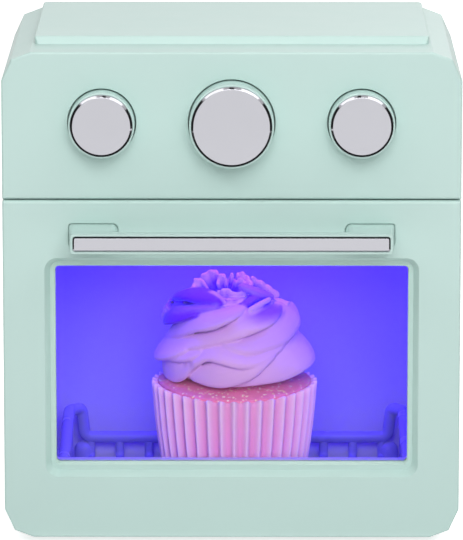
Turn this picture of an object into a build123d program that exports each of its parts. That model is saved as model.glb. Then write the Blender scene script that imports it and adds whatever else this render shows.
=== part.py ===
from build123d import *
import os
from math import cos, degrees, hypot, pi, radians, sin, tan

# Toy air fryer. Millimetres, +Z up. x is zero on the centre plane, z is zero on the table.
# Depth y is measured from the front face of the door and grows towards the back.
# The written parts are shifted so that y is zero at the middle of the whole depth.

# Casing
BODY_W = 92.0
BODY_H = 99.5
BODY_D = 62.0
HEAD_H = 30.0
FOOT_H = 1.5
CORNER_RUN = 5.8
KNEE_X = 2.0
KNEE_Z = 1.45
WALL = 1.6
EDGE_R = 0.45
FRONT_DEPTH = 7.0
SEAM = 0.3
DOOR_BACK_GAP = 0.4
DOOR_TOP_RELIEF = 0.15
DOOR_TOP_R = 0.7
REAR_T = 2.0
PLATFORM_SIDE = 6.25
PLATFORM_H = 1.6
PLATFORM_FRONT = 11.3
PLATFORM_SLOPE = 0.6
PLATFORM_REAR = 2.7
PLATFORM_R = 1.2
PLATFORM_EDGE_R = 0.4

# Fits
RUNNING = 0.05
SLIDING = 0.1
MOVING_GAP = 0.3
FIXED_GAP = 0.1
PRESS_GAP = 0.02

# Door and window
WINDOW_SIDE = 10.4
WINDOW_LOW = 14.6
WINDOW_DROP = 13.8
WINDOW_R = 0.9
LEDGE = 1.0
BEVEL = 1.0
BEVEL_DEPTH = 2.5
MOUTH_R = 2.5
RECESS = 5.5
WINDOW_WALL = 2.2
PANE_T = 0.6
PANE_LAP = 1.5
TOE = 3.0
CATCH_R = 1.0
CATCH_SINK = 0.3

# Hinge
HINGE_DEPTH = 3.6
HINGE_RISE = 5.0
PIN_R = 0.75
EAR_R = 1.7
EAR_INSET = 5.4
EAR_T = 1.8
LUG_T = 2.0
LUG_HALF = 2.0
ARM_BACK = 17.0
PIN_BITE = 1.8

# Handle
HANDLE_DROP = 7.0
HANDLE_REACH = 10.0
BAR_INSET = 13.95
BAR_H = 4.0
BAR_T = 2.4
BAR_R = 0.6
FOOT_W = 9.2
DRAFT = 3.3
RISE_DRAFT = 0.9
SEAT_SINK = 0.5
SEAT_LINE = 0.15
TRIM_MARGIN = 0.5
TRIM_T = 0.8
TRIM_R = 0.55
TRIM_PROUD = 0.3
TRIM_EDGE = 0.28

# Knobs
KNOB_DROP = 14.2
KNOB_SIDE = 20.05
WELL_DEPTH = 2.5
WELL_FLOOR = 1.5
WELL_WALL = 1.2
SIDE_R = 6.6
SIDE_CAP_R = 6.22
SIDE_PROUD = 4.5
CENTER_R = 8.45
CENTER_CAP_R = 8.05
CENTER_PROUD = 5.5
LIP_BACK = 0.5
CAP_SEAT = 0.8
CAP_BEVEL = 0.45
CAP_BEVEL_DEPTH = 0.32
LIP_EDGE = 0.2
CROWN_T = 1.2
SKIRT_T = 1.2
STEM_R = 1.8
BEARING_R = 3.2
BEARING_END = 6.5
STOP_IN = 3.6
STOP_OUT = 5.0
STOP_HEIGHT = 1.3
RIB_T = 1.2
TURN_LIMIT = 135.0
STOP_SPARE_ANGLE = 1.0

# Click wheels and their leaf springs
WHEEL_R = 4.5
WHEEL_T = 2.2
NOTCHES = 12
NOTCH_R = 0.55
FLAT_X = 1.3
SPRING_T = 0.3
SPRING_HALF = 6.2
SPRING_DROP = 5.7
SPRING_RISE = 0.6
POST_T = 1.8
POST_H = 2.4

# Centre slider and switch
TRAVEL = 1.2
JOURNAL_R = 1.75
SLIDER_W = 4.0
GUIDE_WALL = 1.4
GUIDE_END = 8.0
SLIDER_END = 11.0
HUB_R = 3.4
POCKET_DEPTH = 1.2
STEM_W = 2.4
STEM_LEN = 3.5
SWITCH_W = 8.0
SWITCH_FRONT = 12.8
BOARD_FRONT = 17.6
BOARD_T = 1.2
BOARD_W = 32.0
BOARD_H = 22.0
BOARD_SCREW_X = 13.4
BOARD_SCREW_Z = 8.4

# Oven tub
TUB_SIDE = 6.7
TUB_T = 1.0
TUB_FLANGE_T = 1.6
TUB_LIP_T = 1.2
TUB_REAR = 5.0
TUB_ROOF_GAP = 3.7
TUB_CORNER_R = 3.5
FLANGE_TOP_LAP = 2.0

# Light above the oven
LENS_W = 30.0
LENS_D = 16.0
LENS_LAP = 2.5
LENS_T = 1.0
LENS_DEPTH = 30.0
LIGHT_BOARD_W = 46.0
LIGHT_BOARD_D = 24.0
LIGHT_BOARD_T = 1.2
LIGHT_BOARD_RISE = 5.5
CHIP = 3.5
CHIP_T = 1.4
CHIP_PITCH = 8.0

# Battery bay
CELL_R = 5.25
CELL_L = 44.5
CELL_PITCH = 10.7
CELL_COUNT = 3
NUB_R = 1.9
NUB_L = 0.8
BAY_WALL = 1.0
BAY_SLACK = 1.9
BAY_TOWER = 8.0
CONTACT_T = 0.3
BATTERY_DOOR_GAP = 0.2
BATTERY_DOOR_R = 2.0
GRIP_GROOVES = 3
GRIP_GROOVE_L = 6.0
GRIP_GROOVE_W = 1.0
GRIP_GROOVE_STEP = 3.0
GRIP_GROOVE_DEPTH = 0.5

# Screws
SCREW_R = 0.8
PILOT_R = 0.82
SCREW_HOLE_R = 1.0
HEAD_R = 1.6
HEAD_T = 1.0
BOSS_R = 2.2
SCREW_L = 6.5
TAB_T = 2.0
DOOR_SCREW_SIDE = 5.0
DOOR_SCREW_LOW = 17.0
DOOR_SCREW_DROP = 8.5
PANEL_SCREW_SIDE = 5.4
PANEL_SCREW_INSET = 5.6
TUB_SCREW_LOW = 16.0
TUB_SCREW_DROP = 4.9
REAR_SCREW_SIDE = 4.1
REAR_SCREW_LOW = 2.0
REAR_SCREW_DROP = 5.5

# Feet and vents
PAD_R = 3.6
PAD_SIDE = 10.0
PAD_INSET = 8.0
PAD_SINK = 0.3
VENT_COUNT = 9
VENT_PITCH = 5.0
VENT_W = 2.0
VENT_H = 22.0

# Tray
WIRE_R = 0.925
RAIL_R = 1.25
TRAY_SHIFT = 0.8
TRAY_SIDE_GAP = 3.9
TRAY_REAR_GAP = 3.0
TRAY_FRONT_GAP = 0.35
BACK_RAIL_RISE = 8.33
SIDE_RAIL_RISE = 14.75
SIDE_RAIL_FALL = 3.3
TRAY_LIFT_GAP = 0.15
LEG_IN = 3.2
LEG_FOOT = 0.7
LEG_LEAN = 0.3
RAIL_BEND = 1.7
ARCH_BEND = 1.35
CORNER_BEND = 2.2
BACK_WIRES = 11
BACK_WIRE_PITCH = 6.2
CROSS_WIRES = 5
WIRE_BEND = 1.7
POST_R = 2.1
POST_IN = 3.0
POST_BACK = 0.4
POST_RISE = 7.6

# Play cupcake
CAKE_DEPTH = 29.0
CAKE_X = 0.47
LINER_BASE_R = 14.4
LINER_RIM_R = 17.3
LINER_H = 21.6
LINER_T = 0.9
FLUTES = 38
FLUTE_DEPTH = 0.75
CAKE_DOME = 2.4
FROSTING_LOW = 22.6
FROSTING_H = 22.2
FROSTING_R = 15.4
LOBES = 12
LOBE_DEPTH = 0.07
TWIST_ANGLE = 100.0
FROSTING_STEPS = [
    (0.0, 0.86), (0.10, 0.97), (0.24, 1.0), (0.34, 0.95), (0.42, 0.90), (0.53, 0.87),
    (0.62, 0.85), (0.68, 0.80), (0.72, 0.72), (0.80, 0.60), (0.88, 0.47), (0.95, 0.30), (1.0, 0.12),
]

# Places worked out from the sizes above
BASE = FOOT_H
DOOR_H = BODY_H - HEAD_H
DOOR_TOP = BASE + DOOR_H
PANEL_LOW = DOOR_TOP + SEAM
BODY_TOP = BASE + BODY_H
PLATFORM_TOP = BODY_TOP + PLATFORM_H
HOUSING_FRONT = FRONT_DEPTH + DOOR_BACK_GAP
REAR_PLANE = BODY_D - REAR_T
HALF_W = BODY_W / 2
INNER_HALF = HALF_W - WALL
FLOOR_TOP = BASE + WALL
HINGE_Z = BASE + HINGE_RISE
EAR_X = HALF_W - EAR_INSET
HANDLE_Z = DOOR_TOP - HANDLE_DROP
BAR_HALF = HALF_W - BAR_INSET
FOOT_IN = BAR_HALF - FOOT_W
HANDLE_SCREW_X = (BAR_HALF + FOOT_IN) / 2
TRIM_HALF = BAR_HALF - TRIM_MARGIN
TRIM_H = BAR_H - 2 * TRIM_MARGIN
KNOB_Z = BODY_TOP - KNOB_DROP
KNOB_PITCH = HALF_W - KNOB_SIDE
WELL_BOTTOM = WELL_DEPTH + WELL_FLOOR
SIDE_WELL_R = SIDE_R + MOVING_GAP
CENTER_WELL_R = CENTER_R + MOVING_GAP
WINDOW_W = BODY_W - 2 * WINDOW_SIDE
WINDOW_H = DOOR_H - WINDOW_DROP - WINDOW_LOW
WINDOW_MID = BASE + WINDOW_LOW + WINDOW_H / 2
WINDOW_TOP = WINDOW_MID + WINDOW_H / 2
PLATFORM_W = BODY_W - 2 * PLATFORM_SIDE
PLATFORM_BACK = BODY_D - PLATFORM_REAR
DOOR_SWEEP_R = hypot(FRONT_DEPTH - TOE - HINGE_DEPTH, HINGE_RISE) + MOVING_GAP
TUB_FRONT = HINGE_DEPTH + DOOR_SWEEP_R
TUB_HALF = HALF_W - TUB_SIDE
TUB_BACK = BODY_D - TUB_REAR
TUB_FLOOR = FLOOR_TOP + TUB_T
TRAY_HALF = TUB_HALF - TRAY_SIDE_GAP
TRAY_BACK = TUB_BACK - TRAY_REAR_GAP
TRAY_FRONT = TUB_FRONT + TUB_LIP_T + TRAY_FRONT_GAP + RAIL_R
WIRE_Z = TUB_FLOOR + TRAY_LIFT_GAP + WIRE_R
LINER_Z = WIRE_Z + WIRE_R + TRAY_LIFT_GAP
BAY_TOP = BODY_TOP - WALL - FIXED_GAP
BAY_H = 2 * BAY_WALL + CELL_PITCH * CELL_COUNT
BAY_LOW = BAY_TOP - BAY_H
TUB_ROOF = BAY_LOW - TUB_ROOF_GAP
BAY_HALF = CELL_L / 2 + BAY_SLACK + BAY_WALL
BAY_FRONT = REAR_PLANE - 2 * CELL_R - 2 * BAY_WALL - SLIDING
BAY_MID = (BAY_LOW + BAY_TOP) / 2
CELL_DEPTH = BAY_FRONT + BAY_WALL + SLIDING + CELL_R
DEPTH_SHIFT = (HANDLE_REACH + TRIM_PROUD - BODY_D) / 2

DOOR_SCREW_X = HALF_W - DOOR_SCREW_SIDE
DOOR_SCREW_ZS = (BASE + DOOR_SCREW_LOW, DOOR_TOP - DOOR_SCREW_DROP)
PANEL_SCREW_X = HALF_W - PANEL_SCREW_SIDE
PANEL_SCREW_ZS = (PANEL_LOW + PANEL_SCREW_INSET, BODY_TOP - PANEL_SCREW_INSET)
TUB_SCREW_X = (TUB_HALF + TUB_T + FIXED_GAP + INNER_HALF) / 2
TUB_SCREW_ZS = (BASE + TUB_SCREW_LOW, DOOR_TOP - TUB_SCREW_DROP)
REAR_SCREW_X = HALF_W - REAR_SCREW_SIDE
REAR_SCREW_ZS = (BAY_LOW + REAR_SCREW_LOW, BAY_TOP - REAR_SCREW_DROP)
PAD_X = HALF_W - PAD_SIDE
SIDE_KNOBS = {"left": -KNOB_PITCH, "right": KNOB_PITCH}


def both_sides(x, heights):
    """Places at both sides of the centre plane, at each height."""
    return [(side * x, z) for side in (-1, 1) for z in heights]


DOOR_SCREWS = both_sides(DOOR_SCREW_X, DOOR_SCREW_ZS)
PANEL_SCREWS = both_sides(PANEL_SCREW_X, PANEL_SCREW_ZS)
TUB_SCREWS = both_sides(TUB_SCREW_X, TUB_SCREW_ZS)
REAR_SCREWS = both_sides(REAR_SCREW_X, REAR_SCREW_ZS)


def along_depth(sketch, near, far):
    """Extrude a front-view sketch (x, z) from one depth to another."""
    return extrude(Plane.XZ.offset(-far) * sketch, amount=far - near, dir=(0, -1, 0))


def across(sketch, left, right):
    """Extrude a side-view sketch (y, z) from one x to another."""
    return extrude(Plane.YZ.offset(left) * sketch, amount=right - left, dir=(1, 0, 0))


def upward(sketch, low, high):
    """Extrude a plan-view sketch (x, y) from one height to another."""
    return extrude(Plane.XY.offset(low) * sketch, amount=high - low, dir=(0, 0, 1))


def block(x_span, y_span, z_span):
    """A box between two corners."""
    spans = (x_span, y_span, z_span)
    size = [high - low for low, high in spans]
    middle = [(high + low) / 2 for low, high in spans]
    return Pos(*middle) * Box(*size)


def rod(x, z, radius, near, far):
    """A round bar that runs front to back."""
    return along_depth(Pos(x, z) * Circle(radius), near, far)


def mirrored(shape):
    """A shape and its mirror image about the centre plane, as a list."""
    return [shape, mirror(shape, Plane.YZ)]


def faceted(low, high, cut_low, cut_high):
    """Front view of the casing between two heights, with its two-facet corners."""
    right = [(HALF_W, low)]
    if cut_low:
        right = [
            (HALF_W - CORNER_RUN, low),
            (HALF_W - KNEE_X, low + KNEE_Z),
            (HALF_W, low + CORNER_RUN),
        ]
    if cut_high:
        right += [
            (HALF_W, high - CORNER_RUN),
            (HALF_W - KNEE_X, high - KNEE_Z),
            (HALF_W - CORNER_RUN, high),
        ]
    else:
        right.append((HALF_W, high))
    left = [(-x, z) for x, z in reversed(right)]
    return Polygon(*right, *left, align=None)


def inset(sketch, distance):
    """The same outline moved inwards, corners kept sharp."""
    return offset(sketch, -distance, kind=Kind.INTERSECTION)


def soften_front(shape):
    """Round the outer edge of the frontmost face."""
    face = shape.faces().sort_by(Axis.Y)[0]
    return fillet(face.outer_wire().edges(), EDGE_R)


def window(grow, radius):
    """The window's rounded rectangle, grown on all sides."""
    size = (WINDOW_W + 2 * grow, WINDOW_H + 2 * grow)
    return Pos(0, WINDOW_MID) * RectangleRounded(*size, radius)


def screw(x, z, head_near, head_r=HEAD_R, length=SCREW_L):
    """A screw driven forwards from the back; its head starts at head_near."""
    shank = rod(x, z, SCREW_R, head_near - length, head_near)
    head = rod(x, z, head_r, head_near, head_near + HEAD_T)
    socket = RegularPolygon(head_r / 2, 6)
    return shank + head - along_depth(Pos(x, z) * socket, head_near + HEAD_T / 2, head_near + HEAD_T)


def group(shapes):
    """Separate solids kept as one node."""
    return Compound(list(shapes))


def door_outline():
    return faceted(BASE, DOOR_TOP, True, False)


def body_outline():
    return faceted(BASE, BODY_TOP, True, True)


def toe_cut():
    """Wedge taken off the lower back edge of the door so that it can swing."""
    corner = [(FRONT_DEPTH + TOE, BASE), (FRONT_DEPTH - TOE, BASE), (FRONT_DEPTH, BASE + TOE)]
    profile = Polygon(*corner, (FRONT_DEPTH + TOE, BASE + TOE), align=None)
    return across(profile, -BODY_W, BODY_W)


def ear_slots():
    """Room in the door for the two hinge ears of the housing."""
    x_span = (EAR_X - MOVING_GAP, EAR_X + EAR_T + MOVING_GAP)
    z_top = HINGE_Z + EAR_R + MOVING_GAP
    slot = block(x_span, (WALL, FRONT_DEPTH + TOE), (BASE - TOE, z_top))
    return mirrored(slot)


def door_skin(outline):
    """Solid of the door with its rounder top edge and eased other edges."""
    skin = along_depth(outline, 0, FRONT_DEPTH)
    front = skin.faces().sort_by(Axis.Y)[0]
    top = front.edges().sort_by(Axis.Z)[-1]
    skin = fillet(top, DOOR_TOP_R)
    front = skin.faces().sort_by(Axis.Y)[0]
    rest = front.edges().sort_by(Axis.Z)[:-1]
    skin = fillet(rest, EDGE_R)
    back = (FRONT_DEPTH, DOOR_TOP)
    relief = Polygon((HINGE_DEPTH, DOOR_TOP), (FRONT_DEPTH, DOOR_TOP - DOOR_TOP_RELIEF), back, align=None)
    return skin - across(relief, -BODY_W, BODY_W)


def door_panel():
    outline = door_outline()
    door = door_skin(outline)
    door -= along_depth(inset(outline, WALL), WALL, FRONT_DEPTH)
    door += along_depth(window(WINDOW_WALL, WINDOW_R + WINDOW_WALL), WALL / 2, RECESS)
    wide = LEDGE + BEVEL
    mouth = Plane.XZ * window(wide, MOUTH_R)
    throat = Plane.XZ.offset(-BEVEL_DEPTH) * window(LEDGE, WINDOW_R + LEDGE)
    door -= loft([mouth.face(), throat.face()], ruled=True)
    door -= along_depth(window(0, WINDOW_R), 0, RECESS)
    for x, z in DOOR_SCREWS:
        door += rod(x, z, BOSS_R, WALL / 2, RECESS)
    z_span = (HINGE_Z - LUG_HALF, HINGE_Z + LUG_HALF)
    lug_in = (EAR_X - MOVING_GAP - LUG_T, EAR_X - MOVING_GAP)
    lug_out = (EAR_X + EAR_T + MOVING_GAP, INNER_HALF)
    for x_span in (lug_in, lug_out):
        for lug in mirrored(block(x_span, (WALL / 2, RECESS), z_span)):
            door += lug
    door -= toe_cut()
    for slot in ear_slots():
        door -= slot
    bore = Pos(HINGE_DEPTH, HINGE_Z) * Circle(PIN_R + PRESS_GAP)
    for hole in mirrored(across(bore, *pin_span())):
        door -= hole
    for x, z in DOOR_SCREWS:
        door -= rod(x, z, PILOT_R, FRONT_DEPTH - HEAD_T - SCREW_L + 2 * WALL, RECESS)
    for x in (-HANDLE_SCREW_X, HANDLE_SCREW_X):
        door -= rod(x, HANDLE_Z, SCREW_HOLE_R, 0, WALL)
    for seat in mirrored(along_depth(foot_section(0, SEAT_LINE), 0, SEAT_SINK)):
        door -= seat
    return door


def pin_span():
    """Ends of the right hinge pin along x."""
    return EAR_X - MOVING_GAP - PIN_BITE, EAR_X + EAR_T + MOVING_GAP + PIN_BITE


def hinge_pins():
    pin = across(Pos(HINGE_DEPTH, HINGE_Z) * Circle(PIN_R), *pin_span())
    return group(mirrored(chamfer(pin.edges(), PIN_R / 5)))


def door_inner_frame():
    outline = inset(door_outline(), WALL + FIXED_GAP)
    frame = along_depth(outline, RECESS, FRONT_DEPTH)
    frame -= along_depth(window(0, WINDOW_R), RECESS, FRONT_DEPTH)
    pocket = window(PANE_LAP + FIXED_GAP, WINDOW_R + PANE_LAP)
    frame -= along_depth(pocket, RECESS, RECESS + PANE_T + FIXED_GAP / 2)
    frame -= toe_cut()
    for slot in ear_slots():
        frame -= slot
    for x, z in DOOR_SCREWS:
        frame -= rod(x, z, SCREW_HOLE_R, RECESS, FRONT_DEPTH)
        frame -= rod(x, z, HEAD_R + FIXED_GAP, FRONT_DEPTH - HEAD_T, FRONT_DEPTH)
    frame += catch_ball(CATCH_R)
    return frame


def catch_ball(radius):
    """Snap bump in the middle of the door's top edge, or its dimple."""
    z = (DOOR_TOP + WINDOW_TOP) / 2 + BEVEL
    return Pos(0, FRONT_DEPTH - CATCH_SINK, z) * Sphere(radius)


def window_pane():
    return along_depth(window(PANE_LAP, WINDOW_R + PANE_LAP), RECESS, RECESS + PANE_T)


def frame_screws():
    length = SCREW_L - 2 * WALL - FIXED_GAP
    return group(screw(x, z, FRONT_DEPTH - HEAD_T, length=length) for x, z in DOOR_SCREWS)


def rounded_bar(half_x, height, depth):
    """Section of the handle's bar at one depth."""
    shape = Pos(0, HANDLE_Z) * RectangleRounded(2 * half_x, height, BAR_R)
    return (Plane.XZ.offset(-depth) * shape).face()


def foot_section(depth, grow=0.0):
    """Outline of the right foot at a depth; it widens towards the door."""
    slope = tan(radians(DRAFT))
    outer = BAR_HALF + slope * (HANDLE_REACH + depth) + grow
    inner = FOOT_IN - slope * depth - grow
    height = BAR_H + 2 * tan(radians(RISE_DRAFT)) * (HANDLE_REACH + depth) + 2 * grow
    shape = Pos((outer + inner) / 2, HANDLE_Z) * Rectangle(outer - inner, height)
    shape = fillet(shape.vertices().sort_by(Axis.X)[2:], BAR_R)
    return fillet(shape.vertices().sort_by(Axis.X)[:2], 2 * BAR_R)


def handle_foot():
    """Tapered foot that sits in a shallow seat in the door."""
    sections = []
    for depth in (SEAT_SINK, BAR_T / 2 - HANDLE_REACH):
        sections.append((Plane.XZ.offset(-depth) * foot_section(depth)).face())
    return loft(sections, ruled=True)


def handle_grip():
    slope = tan(radians(DRAFT))
    front = rounded_bar(BAR_HALF, BAR_H, -HANDLE_REACH)
    back_h = BAR_H + 2 * tan(radians(RISE_DRAFT)) * BAR_T
    back = rounded_bar(BAR_HALF + slope * BAR_T, back_h, BAR_T - HANDLE_REACH)
    grip = loft([front, back], ruled=True)
    for foot in mirrored(handle_foot()):
        grip += foot
    grip -= along_depth(trim_outline(RUNNING), -HANDLE_REACH, TRIM_T - TRIM_PROUD - HANDLE_REACH)
    for x in (-HANDLE_SCREW_X, HANDLE_SCREW_X):
        grip -= rod(x, HANDLE_Z, PILOT_R, -SCREW_L + WALL - FIXED_GAP, SEAT_SINK)
    return grip


def trim_outline(grow):
    """Front view of the plated strip, or of its seat."""
    size = (2 * (TRIM_HALF + grow), TRIM_H + 2 * grow)
    return Pos(0, HANDLE_Z) * RectangleRounded(*size, TRIM_R + grow)


def handle_trim():
    near = -HANDLE_REACH - TRIM_PROUD
    strip = along_depth(trim_outline(0), near, near + TRIM_T)
    return chamfer(strip.faces().sort_by(Axis.Y)[0].edges(), TRIM_EDGE)


def handle_screws():
    return group(screw(x, HANDLE_Z, WALL) for x in (-HANDLE_SCREW_X, HANDLE_SCREW_X))


def stop_arc(x):
    """Low curved wall in a side well that limits the knob's turn."""
    half = 180.0 - TURN_LIMIT - degrees(RIB_T / 2 / STOP_IN) - STOP_SPARE_ANGLE
    ring = Circle(STOP_OUT) - Circle(STOP_IN)
    reach = 2 * STOP_OUT
    side = reach * tan(radians(half))
    wedge = Polygon((0, 0), (side, -reach), (-side, -reach), align=None)
    return along_depth(Pos(x, KNOB_Z) * (ring & wedge), WELL_DEPTH - STOP_HEIGHT, WELL_DEPTH)


def spring_posts(x):
    """Two posts beside a click wheel, slotted for the ends of its leaf spring."""
    posts = []
    z = KNOB_Z - SPRING_DROP
    for side in (-1, 1):
        middle = x + side * (SPRING_HALF - POST_T / 2)
        x_span = (middle - POST_T / 2, middle + POST_T / 2)
        z_span = (z - POST_H / 2, z + POST_H / 2)
        post = block(x_span, (WELL_BOTTOM - WELL_FLOOR / 2, wheel_back()), z_span)
        slot_z = (z - SPRING_T / 2 - PRESS_GAP, z + SPRING_T / 2 + PRESS_GAP)
        post -= block((x_span[0] - POST_T, x_span[1] + POST_T), (wheel_front(), wheel_back()), slot_z)
        posts.append(post)
    return posts


def wheel_front():
    return BEARING_END + MOVING_GAP


def wheel_back():
    return wheel_front() + WHEEL_T


def control_panel():
    outline = faceted(PANEL_LOW, BODY_TOP, False, True)
    panel = soften_front(along_depth(outline, 0, HOUSING_FRONT))
    panel -= along_depth(inset(outline, WALL), WALL, HOUSING_FRONT)
    for x in SIDE_KNOBS.values():
        panel += rod(x, KNOB_Z, SIDE_WELL_R + WELL_WALL, WALL / 2, WELL_BOTTOM)
        panel += rod(x, KNOB_Z, BEARING_R, WELL_BOTTOM - WELL_FLOOR / 2, BEARING_END)
    panel += rod(0, KNOB_Z, CENTER_WELL_R + WELL_WALL, WALL / 2, WELL_BOTTOM)
    guide_w = SLIDER_W + 2 * SLIDING + 2 * GUIDE_WALL
    guide = Pos(0, KNOB_Z) * Rectangle(guide_w, guide_w)
    panel += along_depth(guide, WELL_BOTTOM - WELL_FLOOR / 2, GUIDE_END)
    for x in SIDE_KNOBS.values():
        panel -= rod(x, KNOB_Z, SIDE_WELL_R, 0, WELL_DEPTH)
        panel -= rod(x, KNOB_Z, STEM_R + RUNNING, 0, BEARING_END)
        panel += stop_arc(x)
        for post in spring_posts(x):
            panel += post
    panel -= rod(0, KNOB_Z, CENTER_WELL_R, 0, WELL_DEPTH)
    bore_w = SLIDER_W + 2 * SLIDING
    panel -= along_depth(Pos(0, KNOB_Z) * Rectangle(bore_w, bore_w), 0, GUIDE_END)
    for x, z in PANEL_SCREWS:
        panel += rod(x, z, BOSS_R, WALL / 2, HOUSING_FRONT)
        panel -= rod(x, z, PILOT_R, HOUSING_FRONT + TAB_T - SCREW_L - FIXED_GAP, HOUSING_FRONT)
    for x, z in board_screw_places():
        panel += rod(x, z, BOSS_R, WALL / 2, BOARD_FRONT)
        panel -= rod(x, z, PILOT_R, BOARD_FRONT + BOARD_T - SCREW_L - FIXED_GAP, BOARD_FRONT)
    return panel


def board_screw_places():
    return [(x, KNOB_Z + z) for x in (-BOARD_SCREW_X, BOARD_SCREW_X) for z in (-BOARD_SCREW_Z, BOARD_SCREW_Z)]


def knob_cap(x, radius, proud):
    """Chromed disc with a bright chamfered rim."""
    near = -proud
    far = near + LIP_BACK + CAP_SEAT
    rim = Cone(radius, radius - CAP_BEVEL, CAP_BEVEL_DEPTH)
    front = Pos(x, near + CAP_BEVEL_DEPTH / 2, KNOB_Z) * Rot(90, 0, 0) * rim
    return rod(x, KNOB_Z, radius, near + CAP_BEVEL_DEPTH, far) + front


def knob_shell(x, radius, cap_radius, proud, skirt_back):
    """Round cup of a knob, with the seat for its cap and a hollow back."""
    lip = LIP_BACK - proud
    shell = rod(x, KNOB_Z, radius, lip, skirt_back)
    shell = fillet(shell.faces().sort_by(Axis.Y)[0].edges(), LIP_EDGE)
    shell -= rod(x, KNOB_Z, cap_radius + PRESS_GAP, lip, lip + CAP_SEAT)
    shell -= rod(x, KNOB_Z, radius - SKIRT_T, lip + CAP_SEAT + CROWN_T, skirt_back)
    return shell


def side_knob(x):
    """Side knob with its stem, end stop rib and the flat that drives the click wheel."""
    skirt_back = WELL_DEPTH - MOVING_GAP
    crown_back = LIP_BACK - SIDE_PROUD + CAP_SEAT + CROWN_T
    knob = knob_shell(x, SIDE_R, SIDE_CAP_R, SIDE_PROUD, skirt_back)
    knob += rod(x, KNOB_Z, STEM_R, crown_back - CROWN_T / 2, wheel_back() - SLIDING)
    rib_x = (x - RIB_T / 2, x + RIB_T / 2)
    rib_z = (KNOB_Z, KNOB_Z + SIDE_R - SKIRT_T / 2)
    knob += block(rib_x, (crown_back - CROWN_T / 2, skirt_back), rib_z)
    flat_x = (x + FLAT_X, x + 2 * STEM_R)
    flat_z = (KNOB_Z - STEM_R, KNOB_Z + STEM_R)
    knob -= block(flat_x, (BEARING_END + SLIDING, wheel_back()), flat_z)
    knob -= rod(x, KNOB_Z, PILOT_R, wheel_back() - SCREW_L, wheel_back())
    return knob


def click_wheel(x):
    """Notched wheel keyed to a knob's stem."""
    disc = Circle(WHEEL_R)
    notch = Circle(NOTCH_R)
    disc -= [loc * notch for loc in PolarLocations(WHEEL_R, NOTCHES)]
    hole = Circle(STEM_R + PRESS_GAP)
    hole -= Pos(FLAT_X + PRESS_GAP + STEM_R, 0) * Rectangle(2 * STEM_R, 4 * STEM_R)
    return along_depth(Pos(x, KNOB_Z) * (disc - hole), wheel_front(), wheel_back())


def side_knob_screw(x):
    length = SCREW_L - FIXED_GAP
    return screw(x, KNOB_Z, wheel_back(), head_r=STEM_R + HEAD_T, length=length)


def click_spring(x):
    """Bent leaf under a click wheel; its ends sit in the panel's slots."""
    z = KNOB_Z - SPRING_DROP
    half = SPRING_T / 2
    rise = SPRING_RISE
    inner = SPRING_HALF - 2 * POST_T
    upper = [(-SPRING_HALF, half), (-inner, half), (0, rise + half), (inner, half), (SPRING_HALF, half)]
    lower = [(px, pz - SPRING_T) for px, pz in reversed(upper)]
    profile = Polygon(*upper, *lower, align=None)
    return along_depth(Pos(x, z) * profile, wheel_front(), wheel_back() - SLIDING)


def center_knob():
    """Large knob: turns on the slider's journal, held by a screw under the cap."""
    skirt_back = WELL_DEPTH - TRAVEL - MOVING_GAP
    seat = LIP_BACK - CENTER_PROUD + CAP_SEAT
    knob = knob_shell(0, CENTER_R, CENTER_CAP_R, CENTER_PROUD, skirt_back)
    knob += rod(0, KNOB_Z, HUB_R, seat + POCKET_DEPTH / 2, skirt_back)
    knob -= rod(0, KNOB_Z, HUB_R - GUIDE_WALL / 2, seat, seat + POCKET_DEPTH)
    return knob - rod(0, KNOB_Z, JOURNAL_R + RUNNING, seat, skirt_back)


def journal_near():
    """Front end of the journal, just proud of the knob's pocket floor."""
    return LIP_BACK - CENTER_PROUD + CAP_SEAT + POCKET_DEPTH - SLIDING


def center_plunger():
    """Round journal in front, square slider behind."""
    shoulder = WELL_DEPTH - TRAVEL
    plunger = rod(0, KNOB_Z, JOURNAL_R, journal_near(), shoulder)
    plunger += along_depth(Pos(0, KNOB_Z) * Rectangle(SLIDER_W, SLIDER_W), shoulder, SLIDER_END)
    return plunger - rod(0, KNOB_Z, PILOT_R, journal_near(), journal_near() + SCREW_L - SLIDING)


def center_knob_screw():
    """Pan-head screw put in from the front, under the cap."""
    near = journal_near()
    head = rod(0, KNOB_Z, HUB_R - GUIDE_WALL / 2 - MOVING_GAP, near - HEAD_T + SLIDING, near)
    socket = along_depth(Pos(0, KNOB_Z) * RegularPolygon(HEAD_R / 2, 6), near - HEAD_T, near - HEAD_T / 2)
    return head - socket + rod(0, KNOB_Z, SCREW_R, near, near + SCREW_L - MOVING_GAP)


def switch_stem():
    return along_depth(Pos(0, KNOB_Z) * Rectangle(STEM_W, STEM_W), SLIDER_END, SLIDER_END + STEM_LEN)


def push_switch():
    """Closed push switch with the pocket that its stem slides in."""
    case = along_depth(Pos(0, KNOB_Z) * Rectangle(SWITCH_W, SWITCH_W), SWITCH_FRONT, BOARD_FRONT)
    case = chamfer(case.faces().sort_by(Axis.Y)[0].edges(), WALL / 4)
    pocket_w = STEM_W + 2 * SLIDING
    pocket = Pos(0, KNOB_Z) * Rectangle(pocket_w, pocket_w)
    return case - along_depth(pocket, SWITCH_FRONT, SLIDER_END + STEM_LEN + TRAVEL + MOVING_GAP)


def switch_board():
    board = along_depth(Pos(0, KNOB_Z) * Rectangle(BOARD_W, BOARD_H), BOARD_FRONT, BOARD_FRONT + BOARD_T)
    for x, z in board_screw_places():
        board -= rod(x, z, SCREW_HOLE_R, BOARD_FRONT, BOARD_FRONT + BOARD_T)
    return board


def board_screws():
    return group(screw(x, z, BOARD_FRONT + BOARD_T) for x, z in board_screw_places())


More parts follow.
